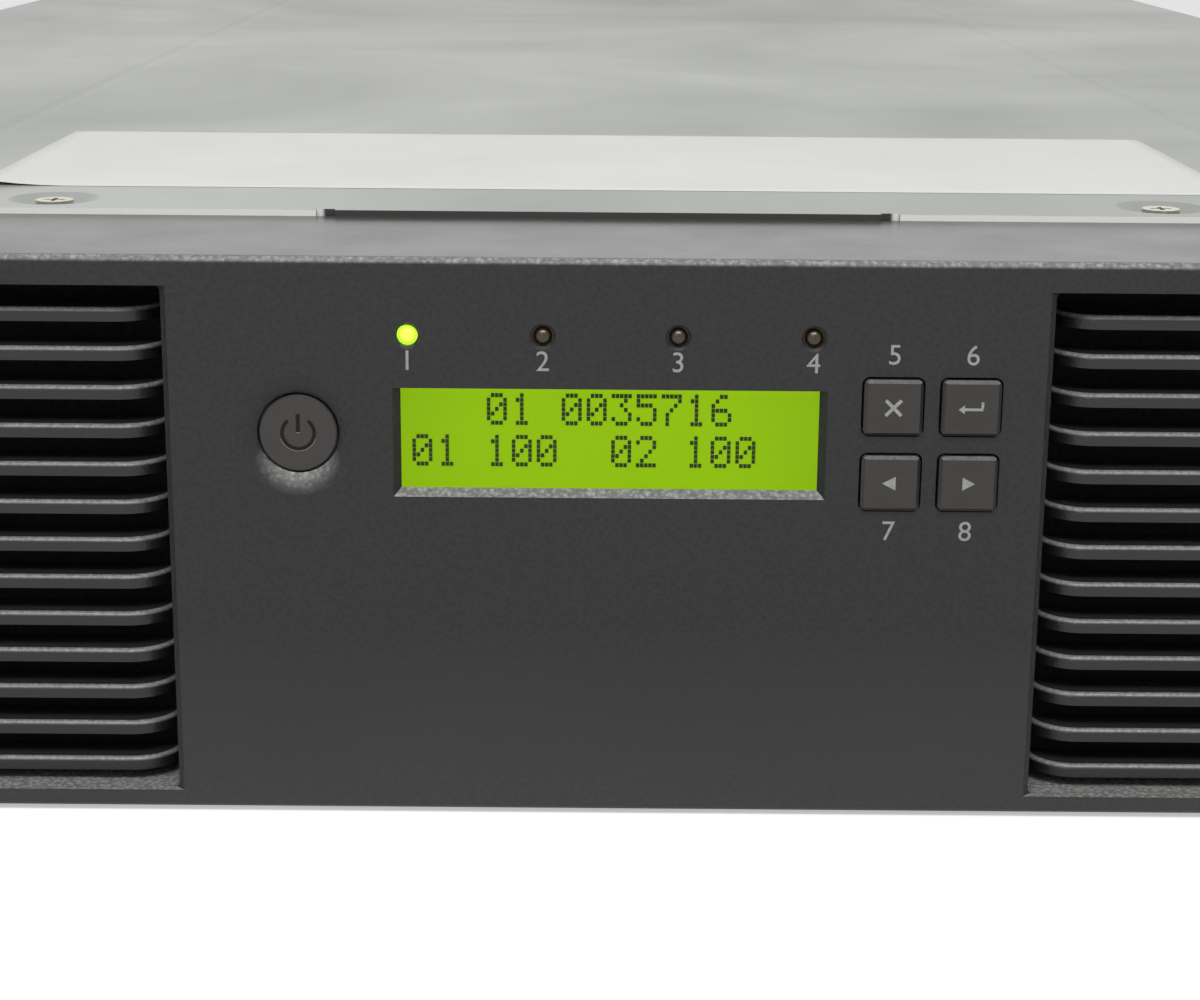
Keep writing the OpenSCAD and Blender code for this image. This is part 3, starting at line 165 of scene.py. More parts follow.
class TapeLibraryCover(bpy.types.PropertyGroup):
    label_width: length("Label width", "Width of the plain label on the cover", 218 * MM)
    label_depth: length("Label depth", "Depth of the plain label on the cover", 84 * MM)
    label_setback: length("Label setback", "From the bezel's face to the label", 66 * MM)
    label_top: length("Label top", "Height of the label's face above the cover", 0.12 * MM)
    label_thickness: length("Label thickness", "Thickness of the label", 0.1 * MM)
    label_curl: length("Label curl", "Height of the label's lifted corner", 1.2 * MM)
    curl_reach: length("Curl reach", "How far from its corner the label lifts", 16 * MM)


class TapeLibraryInside(bpy.types.PropertyGroup):
    thread_pitch: length("Thread pitch", "Pitch of one thread of the lift screw", 2.5 * MM)
    thread_depth: length("Thread depth", "Depth of the lift screw's thread", 0.3 * MM)
    thread_sink: length("Thread sink", "How far the thread's root lies in the shaft", 0.05 * MM)
    thread_flank: share("Thread flank", "Half the thread's width as a share of its pitch", 0.22)
    thread_steps: IntProperty(name="Thread steps", description="Steps in one turn of the thread",
                              default=28, min=8, max=90)
    thread_start: length("Thread start", "From the lift screw's foot to its thread", 8 * MM)
    thread_end: length("Thread end", "From the thread to the lift screw's top", 2 * MM)
    screw_radius: length("Screw radius", "Radius of the lift screw's plain shaft", 2 * MM)
    knurl_length: length("Knurl length", "Length of a thumb screw's knurled grip", 4.8 * MM)
    knurl_end: length("Knurl end", "From the grip to the end of the head", 0.6 * MM)
    knurl_root: length("Knurl root", "Height of a groove's root above the head", 0.02 * MM)
    knurl_crest: length("Knurl crest", "Height of the knurls above the head", 0.32 * MM)
    knurl_wall: length("Knurl wall", "Thickness of the grip's rim", 0.6 * MM)
    knurls: IntProperty(name="Knurls", description="Grooves round a thumb screw", default=36, min=12,
                        max=72)


class TapeLibraryFinish(bpy.types.PropertyGroup):
    cover: colour("Cover", "Paint of the top cover", srgb(158, 161, 157))
    chassis: colour("Chassis", "Plated sheet of the chassis", srgb(180, 182, 180))
    bezel: colour("Bezel", "Moulded plastic of the bezel", srgb(30, 30, 31))
    louvre: colour("Louvres", "Moulded plastic of the louvres", srgb(22, 22, 23))
    key_cap: colour("Key caps", "Plastic of the four keys", srgb(30, 27, 25))
    button: colour("Power button", "Plastic of the power button", srgb(46, 44, 43))
    mark: colour("Print", "Ink of the printed marks", srgb(150, 150, 148))
    label: colour("Label", "Face of the plain label", srgb(222, 223, 220))
    display: colour("Display", "Lit glass of the display", srgb(146, 194, 6))
    dots: colour("Display dots", "Dark dots of the display", srgb(26, 42, 6))
    lamp: colour("Lit lamp", "Colour of the lit lamp", srgb(214, 255, 62))
    dark_lamp: colour("Dark lamps", "Colour of the unlit lamps", srgb(44, 30, 8))
    board: colour("Circuit boards", "Solder mask of the boards", srgb(22, 84, 44))
    steel: colour("Bright steel", "Plated screws, latches and rails", srgb(202, 198, 180))
    magazine: colour("Magazines", "Plastic of the magazine bodies", srgb(66, 67, 71))
    picker: colour("Picker", "Plastic of the picker's moving parts", srgb(40, 40, 43))
    drive: colour("Drives", "Plated sheet of the drive sleds", srgb(184, 186, 184))


PARTS = (
    ("stage", TapeLibraryStage),
    ("panel", TapeLibraryPanel),
    ("cover", TapeLibraryCover),
    ("inside", TapeLibraryInside),
    ("finish", TapeLibraryFinish),
)


class TapeLibrarySettings(bpy.types.PropertyGroup):
    stage: PointerProperty(type=TapeLibraryStage)
    panel: PointerProperty(type=TapeLibraryPanel)
    cover: PointerProperty(type=TapeLibraryCover)
    inside: PointerProperty(type=TapeLibraryInside)
    finish: PointerProperty(type=TapeLibraryFinish)


# ---------- materials ----------
class Nodes:
    """A material's node tree with short calls for the nodes used here."""

    def __init__(self, name):
        self.material = bpy.data.materials.new(name)
        self.material.use_nodes = True
        self.tree = self.material.node_tree
        self.shader = self.tree.nodes["Principled BSDF"]
        self.output = self.tree.nodes["Material Output"]
        self.object = self.add("ShaderNodeTexCoord").outputs["Object"]

    def add(self, kind, **fields):
        node = self.tree.nodes.new(kind)
        for field, value in fields.items():
            setattr(node, field, value)
        return node

    def join(self, source, target):
        self.tree.links.new(source, target)

    def feed(self, socket, value):
        """Links an output, or sets a plain value."""
        if isinstance(value, bpy.types.NodeSocket):
            self.join(value, socket)
        else:
            socket.default_value = value

    def mapped(self, scale, turn=(0, 0, 0)):
        node = self.add("ShaderNodeMapping")
        self.join(self.object, node.inputs["Vector"])
        node.inputs["Scale"].default_value = scale
        node.inputs["Rotation"].default_value = turn
        return node.outputs["Vector"]

    def noise(self, scale, detail=2.0, rough=0.5, vector=None, distort=0.0):
        node = self.add("ShaderNodeTexNoise")
        self.join(vector or self.object, node.inputs["Vector"])
        node.inputs["Scale"].default_value = scale
        node.inputs["Detail"].default_value = detail
        node.inputs["Roughness"].default_value = rough
        node.inputs["Distortion"].default_value = distort
        return node.outputs["Fac"]

    def cells(self, scale, feature="F1", vector=None):
        node = self.add("ShaderNodeTexVoronoi", feature=feature)
        self.join(vector or self.object, node.inputs["Vector"])
        node.inputs["Scale"].default_value = scale
        return node.outputs["Distance"]

    def spread(self, value, low, high, to_low=0.0, to_high=1.0):
        node = self.add("ShaderNodeMapRange")
        self.feed(node.inputs["Value"], value)
        node.inputs["From Min"].default_value = low
        node.inputs["From Max"].default_value = high
        node.inputs["To Min"].default_value = to_low
        node.inputs["To Max"].default_value = to_high
        return node.outputs["Result"]

    def maths(self, operation, first, second=0.0):
        node = self.add("ShaderNodeMath", operation=operation)
        self.feed(node.inputs[0], first)
        self.feed(node.inputs[1], second)
        return node.outputs["Value"]

    def blend(self, factor, first, second):
        node = self.add("ShaderNodeMix", data_type="RGBA")
        self.feed(node.inputs["Factor"], factor)
        self.feed(node.inputs["A"], first)
        self.feed(node.inputs["B"], second)
        return node.outputs["Result"]

    def axis(self, letter, source=None):
        node = self.add("ShaderNodeSeparateXYZ")
        self.join(source or self.object, node.inputs["Vector"])
        return node.outputs[letter]

    def facing(self, letter):
        geometry = self.add("ShaderNodeNewGeometry")
        return self.axis(letter, geometry.outputs["Normal"])

    def relief(self, height, strength, distance):
        node = self.add("ShaderNodeBump")
        self.join(height, node.inputs["Height"])
        node.inputs["Strength"].default_value = strength
        node.inputs["Distance"].default_value = distance
        self.join(node.outputs["Normal"], self.shader.inputs["Normal"])

    def finish(self, base, roughness, metallic=0.0, specular=0.5):
        self.feed(self.shader.inputs["Base Color"], base)
        self.feed(self.shader.inputs["Roughness"], roughness)
        self.shader.inputs["Metallic"].default_value = metallic
        self.shader.inputs["Specular IOR Level"].default_value = specular
        return self.material


def scaled(tint, factor):
    return (min(1, tint[0] * factor), min(1, tint[1] * factor), min(1, tint[2] * factor), 1.0)


def moulded_plastic(name, tint, grain=1500, depth=0.06, roughness=0.46, specular=0.32, dust=0.075,
                    sheen=0.22, fade=None, edge_highlight=0.0, sills=None):
    """Moulded plastic: fine leather grain, slight mottling and dust on faces that look up.

    fade is (axis, near, far, tint factor near, tint factor far), a ramp of painted light and shade
    along one axis; rub is how strongly tilted edges get a pale painted highlight, and below the
    height given by sills the level faces get that painted highlight too.
    """
    n = Nodes(name)
    mottle = n.spread(n.noise(18, 4.0, 0.6), 0.3, 0.7)
    base = n.blend(mottle, scaled(tint, 0.9), scaled(tint, 1.12))
    # painted light and shade: the tint is ramped along one axis, paler where bounced light falls and
    # darker where shade falls
    if fade:
        letter, near, far, low, high = fade
        level = n.spread(n.axis(letter), near, far)
        base = n.blend(level, n.blend(mottle, scaled(tint, low * 0.9), scaled(tint, low * 1.12)),
                       scaled(tint, high))
    speck = n.spread(n.noise(900, 2.0, 0.6), 0.62, 0.76)
    upward = n.spread(n.facing("Z"), 0.5, 0.95)
    dusty = n.maths("MULTIPLY", n.spread(speck, 0.0, 1.0, 0.3, 1.0),
                    n.maths("MULTIPLY", upward, dust * 6))
    base = n.blend(dusty, base, srgb(170, 168, 164))
    # painted highlight: faces tilted between level and upright, such as bevels, louvre noses and the
    # power button's dish, are paled as if catching the light from above
    if edge_highlight:
        tilt = n.facing("Z")
        highlit_edges = n.maths("MULTIPLY", n.spread(tilt, 0.22, 0.66), n.spread(tilt, 0.99, 0.93))
        if sills:
            # no painted highlight at the height of the lamps
            lamps = n.maths("ABSOLUTE", n.maths("SUBTRACT", n.axis("Z"), middle("ready_lamp").z))
            highlit_edges = n.maths("MULTIPLY", highlit_edges, n.spread(lamps, 2.5 * MM, 3 * MM))
            # painted highlight on the level floors of the openings, below the height given by sills
            low_floor = n.maths("MULTIPLY", n.spread(tilt, 0.8, 0.95),
                                n.spread(n.axis("Z"), sills + 1 * MM, sills))
            highlit_edges = n.maths("MAXIMUM", highlit_edges, low_floor)
        patchy = n.spread(n.noise(1500, 3.0, 0.7), 0.36, 0.62, 0.55, 1.0)
        base = n.blend(n.maths("MULTIPLY", n.maths("MULTIPLY", highlit_edges, patchy), edge_highlight), base,
                       srgb(178, 178, 175))
    grain_height = n.maths("ADD", n.spread(n.cells(grain, "SMOOTH_F1"), 0.0, 0.7),
                           n.maths("MULTIPLY", n.noise(grain * 2.2, 1.0), 0.5))
    base = n.blend(n.maths("MULTIPLY", n.spread(grain_height, 0.55, 1.0), min(0.5, depth * 8)),
                   base, scaled(tint, 1.9))
    grain_height = n.maths("MULTIPLY", grain_height, n.spread(upward, 0.0, 1.0, 1.0, 0.12))
    n.relief(grain_height, min(1.0, depth * 12), 0.09 * MM)
    rough = n.spread(n.noise(60, 3.0), 0.3, 0.7, roughness - 0.03, roughness + 0.04)
    rough = n.maths("SUBTRACT", rough, n.maths("MULTIPLY", upward, sheen))
    return n.finish(base, rough, 0.0, specular)


def painted_cover(name, tint):
    """Smooth light paint with long soft smears, faint rubs and the odd scratch."""
    n = Nodes(name)
    clouds = n.spread(n.noise(5.5, 4.0, 0.62, distort=0.6), 0.34, 0.7)
    smears = n.spread(n.noise(9, 3.0, 0.5, n.mapped((1.0, 0.35, 1.0), (0, 0, 0.35))), 0.5, 0.78)
    base = n.blend(clouds, scaled(tint, 1.05), scaled(tint, 0.86))
    base = n.blend(n.maths("MULTIPLY", smears, 0.4), base, scaled(tint, 0.72))
    scratch = n.spread(n.noise(260, 2.0, 0.6, n.mapped((0.03, 1.0, 1.0), (0, 0, 1.1))), 0.71, 0.76)
    base = n.blend(n.maths("MULTIPLY", scratch, 0.35), base, scaled(tint, 1.25))
    rough = n.maths("ADD", n.spread(clouds, 0.0, 1.0, 0.3, 0.42), n.maths("MULTIPLY", smears, 0.08))
    # the sheet's bare cut edge shows pale at the front, outside the folded lip; the folded lip's
    # front face between is painted dark as the shade of the gap it sits in
    lip_end, shade = 45.6 * MM, 0.6 * MM
    front = n.spread(n.facing("Y"), -0.6, -0.9)
    outside = n.spread(n.maths("ABSOLUTE", n.axis("X")), lip_end, lip_end + shade)
    base = n.blend(front, base, n.blend(outside, srgb(52, 52, 50), srgb(236, 236, 232)))
    n.relief(n.maths("ADD", n.noise(700, 2.0), n.maths("MULTIPLY", scratch, 0.5)), 0.12, 0.02 * MM)
    return n.finish(base, rough, 0.0, 0.5)


def plated_sheet(name, tint, roughness=0.34):
    """Zinc-plated sheet: faint spangle, rolling lines and soft handling marks."""
    n = Nodes(name)
    spangle = n.spread(n.cells(150, "F1"), 0.0, 0.8)
    lines = n.noise(240, 3.0, 0.6, n.mapped((1.0, 0.02, 1.0)))
    marks = n.spread(n.noise(14, 4.0, 0.6), 0.4, 0.72)
    base = n.blend(spangle, scaled(tint, 0.84), scaled(tint, 1.04))
    base = n.blend(n.maths("MULTIPLY", marks, 0.35), base, scaled(tint, 0.7))
    rough = n.maths("ADD", n.spread(lines, 0.3, 0.7, roughness - 0.06, roughness + 0.08),
                    n.maths("MULTIPLY", marks, 0.08))
    n.relief(lines, 0.06, 0.02 * MM)
    return n.finish(base, rough, 0.85, 0.5)


def bright_steel(name, tint, roughness=0.24):
    """Turned and plated steel with tiny tool lines."""
    n = Nodes(name)
    lines = n.noise(1600, 2.0, 0.5, n.mapped((1.0, 1.0, 0.15)))
    base = n.blend(n.spread(n.noise(90, 3.0), 0.35, 0.7), tint, scaled(tint, 0.8))
    rough = n.spread(lines, 0.3, 0.7, roughness - 0.05, roughness + 0.1)
    n.relief(lines, 0.08, 0.01 * MM)
    return n.finish(base, rough, 1.0, 0.5)


def circuit_board(name, tint):
    """Solder mask over copper tracks and plated pads."""
    n = Nodes(name)
    tracks = n.add("ShaderNodeTexBrick")
    n.join(n.object, tracks.inputs["Vector"])
    tracks.inputs["Scale"].default_value = 90
    tracks.inputs["Mortar Size"].default_value = 0.045
    tracks.inputs["Color1"].default_value = (0, 0, 0, 1)
    tracks.inputs["Color2"].default_value = (0.12, 0.12, 0.12, 1)
    tracks.inputs["Mortar"].default_value = (1, 1, 1, 1)
    base = n.blend(tracks.outputs["Color"], tint, scaled(tint, 1.7))
    pads = n.spread(n.cells(420), 0.16, 0.12)
    base = n.blend(n.maths("MULTIPLY", pads, 0.8), base, srgb(190, 180, 130))
    n.relief(tracks.outputs["Fac"], 0.3, 0.05 * MM)
    return n.finish(base, n.spread(n.noise(120), 0.3, 0.7, 0.28, 0.4), 0.0, 0.5)


def rubber(name):
    """Dull moulded rubber with a fine skin."""
    n = Nodes(name)
    base = n.blend(n.noise(140, 3.0), srgb(26, 26, 26), srgb(40, 40, 40))
    n.relief(n.noise(1500, 2.0), 0.3, 0.04 * MM)
    return n.finish(base, 0.8, 0.0, 0.25)


def display_glass(name):
    """Thin clear window with a faint waviness."""
    n = Nodes(name)
    n.relief(n.noise(30, 1.0), 0.02, 0.01 * MM)
    n.shader.inputs["Transmission Weight"].default_value = 1.0
    n.shader.inputs["IOR"].default_value = 1.08
    rough = n.spread(n.noise(50, 2.0), 0.3, 0.7, 0.0, 0.03)
    return n.finish((0.97, 0.99, 0.96, 1.0), rough, 0.0, 0.06)


def lit_display(name, tint):
    """Backlit glass: brightest in the middle, a little darker at the edges."""
    n = Nodes(name)
    centre = middle("display_window").x
    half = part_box("display_window")[1].x - centre
    across = n.maths("ABSOLUTE", n.maths("DIVIDE", n.maths("SUBTRACT", n.axis("X"), centre), half))
    edge = n.maths("ADD", n.spread(across, 0.55, 1.0, 0.0, 0.6),
                   n.maths("MULTIPLY", n.noise(40), 0.25))
    glow = n.blend(edge, tint, scaled(tint, 0.8))
    n.join(glow, n.shader.inputs["Emission Color"])
    n.shader.inputs["Emission Strength"].default_value = 0.94
    return n.finish(scaled(tint, 0.05), 0.6, 0.0, 0.05)


def lamp_dome(name, tint, glow):
    """Moulded lens: a bright core when lit (glow above 0), smoked resin when dark."""
    n = Nodes(name)
    core = n.add("ShaderNodeLayerWeight")
    core.inputs["Blend"].default_value = 0.45
    centre_tint = n.blend(core.outputs["Facing"], tint, scaled(tint, 0.45))
    if glow:
        rim_tint = srgb(96, 214, 8)
        n.join(n.blend(core.outputs["Facing"], tint, rim_tint), n.shader.inputs["Emission Color"])
        n.shader.inputs["Emission Strength"].default_value = glow
    n.relief(n.noise(500), 0.05, 0.02 * MM)
    n.shader.inputs["Coat Weight"].default_value = 0.15
    n.shader.inputs["Coat Roughness"].default_value = 0.08
    return n.finish(centre_tint, 0.22, 0.0, 0.5)


def print_ink(name, tint):
    """Pad-printed ink, slightly worn."""
    n = Nodes(name)
    worn = n.spread(n.noise(1400, 3.0, 0.7), 0.35, 0.62)
    base = n.blend(worn, scaled(tint, 0.86), scaled(tint, 1.06))
    n.relief(n.noise(1800, 1.0), 0.2, 0.01 * MM)
    return n.finish(base, 0.6, 0.0, 0.3)


def label_paper(name, tint):
    """Semi-gloss label stock, slightly uneven and grubby in soft patches."""
    n = Nodes(name)
    grub = n.spread(n.noise(26, 4.0, 0.65), 0.56, 0.8)
    base = n.blend(n.maths("MULTIPLY", grub, 0.22), tint, scaled(tint, 0.72))
    fibre = n.noise(1100, 3.0, 0.6)
    base = n.blend(n.spread(fibre, 0.35, 0.65, 0.0, 0.06), base, scaled(tint, 0.8))
    n.relief(n.maths("ADD", fibre, n.maths("MULTIPLY", n.noise(40, 2.0), 3.0)), 0.06, 0.04 * MM)
    return n.finish(base, n.spread(n.noise(30, 3.0), 0.3, 0.7, 0.34, 0.46), 0.0, 0.45)


def node_finishes(f):
    """Material of each record slot."""
    bezel_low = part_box("front_bezel")[0]
    louvre_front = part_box("left_magazine_front")[0].y
    # the face is paler towards its lower edge with painted light bounced up from the floor, and the
    # louvres' roots are darkened with painted shade
    bezel_floor_bounce = ("Z", bezel_low.z, bezel_low.z + 30 * MM, 2.9, 0.94)
    louvre_root_shade = ("Y", louvre_front + 1.5 * MM, louvre_front + 5 * MM, 1.0, 0.12)
    return {
        "chassis_steel": plated_sheet("zinc_sheet", f.chassis),
        "cover_steel": painted_cover("cover_paint", f.cover),
        "screw_steel": bright_steel("bright_steel", f.steel),
        "bezel_plastic": moulded_plastic("bezel_grain", f.bezel, fade=bezel_floor_bounce, edge_highlight=0.85,
                                         sills=bezel_low.z + 4 * MM),
        "window_clear": display_glass("window_glass"),
        "display_lit": lit_display("display_backlight", f.display),
        "board_green": circuit_board("board_mask", f.board),
        "lamp_lit": lamp_dome("lamp_lit_lens", f.lamp, 1.0),
        "lamp_dark": lamp_dome("lamp_dark_lens", f.dark_lamp, 0.0),
        "button_plastic": moulded_plastic("button_satin", f.button, 2400, 0.02, 0.42, 0.4, 0.0),
        "key_plastic": moulded_plastic("key_satin", f.key_cap, 2400, 0.02, 0.34, 0.5, 0.02,
                                       edge_highlight=0.28),
        "louvre_plastic": moulded_plastic("louvre_satin", f.louvre, 2000, 0.03, 0.4, 0.45, 0.03,
                                          fade=louvre_root_shade, edge_highlight=0.62),
        "magazine_plastic": moulded_plastic("magazine_grain", f.magazine, 1100, 0.04, 0.46, 0.4,
                                            0.02),
        "runner_plastic": moulded_plastic("runner_slip", srgb(60, 60, 62), 900, 0.02, 0.3, 0.5,
                                          0.0),
        "picker_plastic": moulded_plastic("picker_glass_filled", f.picker, 800, 0.05, 0.5, 0.4,
                                          0.02),
        "motor_metal": bright_steel("motor_can", srgb(176, 176, 172), 0.3),
        "pinion_plastic": moulded_plastic("pinion_acetal", srgb(226, 222, 208), 900, 0.01, 0.34,
                                          0.5, 0.0),
        "wheel_rubber": rubber("wheel_rubber_grip"),
        "drive_steel": plated_sheet("drive_sheet", f.drive, 0.3),
        "door_plastic": moulded_plastic("door_black", srgb(30, 30, 32), 1500, 0.03, 0.4, 0.45,
                                        0.0),
        "fan_plastic": moulded_plastic("fan_black", srgb(24, 24, 24), 1100, 0.02, 0.35, 0.45,
                                       0.02),
        "inlet_plastic": moulded_plastic("inlet_black", srgb(22, 22, 23), 1300, 0.03, 0.4, 0.45,
                                         0.0),
        "port_metal": bright_steel("port_shell", srgb(192, 193, 190), 0.26),
    }


# ---------- shapes ----------
def add_box(mesh, low, high):
    """A box between two corners, added with create_cube."""
    made = bmesh.ops.create_cube(mesh, size=1.0)["verts"]
    low, high = Vector(low), Vector(high)
    bmesh.ops.scale(mesh, verts=made, vec=high - low)
    bmesh.ops.translate(mesh, verts=made, vec=(low + high) / 2)
    return made


def piece(name, mesh, material, body, smooth=False):
    """Turns a bmesh into an object that rides on a body and takes the given material."""
    bmesh.ops.remove_doubles(mesh, verts=mesh.verts, dist=1e-7)
    bmesh.ops.recalc_face_normals(mesh, faces=mesh.faces)
    data = bpy.data.meshes.new(name)
    mesh.to_mesh(data)
    mesh.free()
    if smooth:
        data.polygons.foreach_set("use_smooth", [True] * len(data.polygons))
    made = bpy.data.objects.new(name, data)
    bpy.context.scene.collection.objects.link(made)
    data.materials.append(material)
    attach(made, body)
    return made


def front_text(characters, height, centre, thickness):
    """Flat digits made a mesh, standing upright on the XZ plane and facing -Y."""
    curve = bpy.data.curves.new("digits", "FONT")
    curve.body = characters
    curve.align_x, curve.align_y = "CENTER", "CENTER"
    curve.size = height * 1.42
    curve.extrude = thickness / 2
    holder = bpy.data.objects.new("digits", curve)
    bpy.context.scene.collection.objects.link(holder)
    flat = bpy.data.meshes.new_from_object(holder.evaluated_get(
        bpy.context.evaluated_depsgraph_get()))
    bpy.data.objects.remove(holder)
    bpy.data.curves.remove(curve)
    mesh = bmesh.new()
    mesh.from_mesh(flat)
    bpy.data.meshes.remove(flat)
    bmesh.ops.rotate(mesh, verts=mesh.verts, cent=(0, 0, 0),
                     matrix=Matrix.Rotation(math.radians(90), 3, "X"))
    bmesh.ops.translate(mesh, verts=mesh.verts, vec=centre)
    return mesh


def merged(meshes):
    """One bmesh from several, which are freed."""
    whole = bmesh.new()
    for part in meshes:
        copy = bpy.data.meshes.new("part")
        part.to_mesh(copy)
        part.free()
        whole.from_mesh(copy)
        bpy.data.meshes.remove(copy)
    return whole


def upright(points, centre, face, thickness):
    """A flat outline in the XZ plane, given a thickness towards the front."""
    mesh = bmesh.new()
    verts = [mesh.verts.new((centre.x + x * MM, face, centre.z + z * MM)) for x, z in points]
    flat = mesh.faces.new(verts)
    grown = bmesh.ops.extrude_face_region(mesh, geom=[flat])["geom"]
    bmesh.ops.translate(mesh, verts=[v for v in grown if isinstance(v, bmesh.types.BMVert)],
                        vec=(0, -thickness, 0))
    return mesh


def stroke(start, end, width):
    """Corners of a straight stroke."""
    along = (Vector(end) - Vector(start)).normalized() * width / 2
    side = Vector((-along.y, along.x))
    return [tuple(Vector(start) + side), tuple(Vector(end) + side),
            tuple(Vector(end) - side), tuple(Vector(start) - side)]


# Dots of each digit, row by row from the top; # is a dark dot.
DIGITS = {
    "0": (".###.", "#...#", "#..##", "#.#.#", "##..#", "#...#", ".###."),
    "1": ("..#..", ".##..", "..#..", "..#..", "..#..", "..#..", ".###."),
    "2": (".###.", "#...#", "....#", "...#.", "..#..", ".#...", "#####"),
    "3": ("#####", "...#.", "..#..", "...#.", "....#", "#...#", ".###."),
    "5": ("#####", "#....", "####.", "....#", "....#", "#...#", ".###."),
    "6": ("..##.", ".#...", "#....", "####.", "#...#", "#...#", ".###."),
    "7": ("#####", "....#", "...#.", "..#..", ".#...", ".#...", ".#..."),
}


# ---------- operators ----------
class TAPELIB_OT_stage(bpy.types.Operator):
    """Camera, soft lights, floor and room"""
    bl_idname = "tapelib.stage"
    bl_label = "Stage"

    def execute(self, context):
        s = context.scene.tape_library.stage
        scene = context.scene
        self.place_camera(scene, s)
        face = Vector((0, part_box("front_bezel")[0].y, 0))
        self.softbox("overhead_softbox", s.overhead_power, face + s.overhead_place,
                     s.overhead_turn, (s.overhead_width, s.overhead_depth))
        self.softbox("front_softbox", s.front_power, face + s.front_place,
                     s.front_turn, (s.front_width, s.front_depth))
        self.lay_floor(s)
        self.light_room(scene, s)
        scene.view_settings.view_transform = "Standard"
        return {"FINISHED"}

    @staticmethod
    def place_camera(scene, s):
        level = Vector((math.cos(s.yaw), -math.sin(s.yaw), 0))
        ahead = Vector((math.sin(s.yaw) * math.cos(s.pitch), math.cos(s.yaw) * math.cos(s.pitch),
                        -math.sin(s.pitch)))
        steep = level.cross(ahead)
        right = level * math.cos(s.roll) + steep * math.sin(s.roll)
        up = steep * math.cos(s.roll) - level * math.sin(s.roll)
        turn = Matrix((right, up, -ahead)).transposed().to_4x4()
        data = bpy.data.cameras.new("front_camera")
        data.lens = s.lens
        data.sensor_width = 36
        data.clip_start, data.clip_end = 0.01, 50
        camera = bpy.data.objects.new("front_camera", data)
        scene.collection.objects.link(camera)
        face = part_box("front_bezel")[0].y
        camera.matrix_world = Matrix.Translation(
            (s.camera_side, face - s.camera_back, s.camera_up)) @ turn
        scene.camera = camera

    @staticmethod
    def softbox(name, power, at, turn, size):
        data = bpy.data.lights.new(name, "AREA")
        data.energy = power
        data.shape = "RECTANGLE"
        data.size, data.size_y = size
        lamp = bpy.data.objects.new(name, data)
        lamp.location, lamp.rotation_euler = at, turn
        bpy.context.scene.collection.objects.link(lamp)

    @staticmethod
    def lay_floor(s):
        mesh = bmesh.new()
        bmesh.ops.create_grid(mesh, x_segments=1, y_segments=1, size=6.0)
        data = bpy.data.meshes.new("floor")
        mesh.to_mesh(data)
        mesh.free()
        floor = bpy.data.objects.new("floor", data)
        bpy.context.scene.collection.objects.link(floor)
        n = Nodes("floor_white")
        n.finish(n.blend(n.noise(3.0), s.floor_colour, scaled(s.floor_colour, 0.99)), 0.9, 0.0, 0.1)
        path = n.add("ShaderNodeLightPath")
        seen = n.maths("MAXIMUM", path.outputs["Is Camera Ray"], path.outputs["Is Glossy Ray"])
        seen = n.maths("MAXIMUM", seen, path.outputs["Is Transmission Ray"])
        glow = n.add("ShaderNodeEmission")
        glow.inputs["Color"].default_value = (1, 1, 1, 1)
        n.join(n.maths("MULTIPLY", seen, 0.45), glow.inputs["Strength"])
        both = n.add("ShaderNodeAddShader")
        n.join(n.shader.outputs["BSDF"], both.inputs[0])
        n.join(glow.outputs["Emission"], both.inputs[1])
        n.join(both.outputs["Shader"], n.output.inputs["Surface"])
        data.materials.append(n.material)

    @staticmethod
    def light_room(scene, s):
        world = bpy.data.worlds.new("white_room")
        world.use_nodes = True
        tree = world.node_tree
        path = tree.nodes.new("ShaderNodeLightPath")
        first = tree.nodes.new("ShaderNodeMath")
        second = tree.nodes.new("ShaderNodeMath")
        first.operation = second.operation = "MAXIMUM"
        tree.links.new(path.outputs["Is Camera Ray"], first.inputs[0])
        tree.links.new(path.outputs["Is Glossy Ray"], first.inputs[1])
        tree.links.new(first.outputs["Value"], second.inputs[0])
        tree.links.new(path.outputs["Is Transmission Ray"], second.inputs[1])
        level = tree.nodes.new("ShaderNodeMapRange")
        level.inputs["To Min"].default_value = s.room_light
        level.inputs["To Max"].default_value = 1.0
        tree.links.new(second.outputs["Value"], level.inputs["Value"])
        back = tree.nodes["Background"]
        back.inputs["Color"].default_value = (1, 1, 1, 1)
        tree.links.new(level.outputs["Result"], back.inputs["Strength"])
        scene.world = world


class TAPELIB_OT_node_finishes(bpy.types.Operator):
    """Materials of all the CAD nodes"""
    bl_idname = "tapelib.node_finishes"
    bl_label = "Node finishes"

    def execute(self, context):
        finishes = node_finishes(context.scene.tape_library.finish)
        for part in frame["record"]["subparts"]:
            node = frame["nodes"][part["node"]]
            if part["material_slot"] not in finishes:
                raise ValueError("no finish for slot " + part["material_slot"])
            for slot in node.material_slots:
                slot.material = finishes[part["material_slot"]]
        return {"FINISHED"}


class TAPELIB_OT_cover_label(bpy.types.Operator):
    """Plain white label on the top cover, with one lifted corner"""
    bl_idname = "tapelib.cover_label"
    bl_label = "Cover label"

    def execute(self, context):
        s = context.scene.tape_library.cover
        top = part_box("top_cover")[1].z
        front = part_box("front_bezel")[0].y + s.label_setback
        mesh = bmesh.new()
        bmesh.ops.create_grid(mesh, x_segments=56, y_segments=24, size=0.5)
        bmesh.ops.scale(mesh, verts=mesh.verts, vec=(s.label_width, s.label_depth, 1))
        bmesh.ops.translate(mesh, verts=mesh.verts,
                            vec=(0, front + s.label_depth / 2, top + s.label_top))
        corner = Vector((-s.label_width / 2, front, 0))
        for vert in mesh.verts:
            away = math.hypot(vert.co.x - corner.x, vert.co.y - corner.y)
            lift = max(0.0, 1 - away / s.curl_reach)
            vert.co.z += s.label_curl * lift * lift
        paper = label_paper("label_stock", context.scene.tape_library.finish.label)
        label = piece("cover_label", mesh, paper, "frame", smooth=True)
        thick = label.modifiers.new("paper", "SOLIDIFY")
        thick.thickness = s.label_thickness
        thick.offset = -1
        return {"FINISHED"}


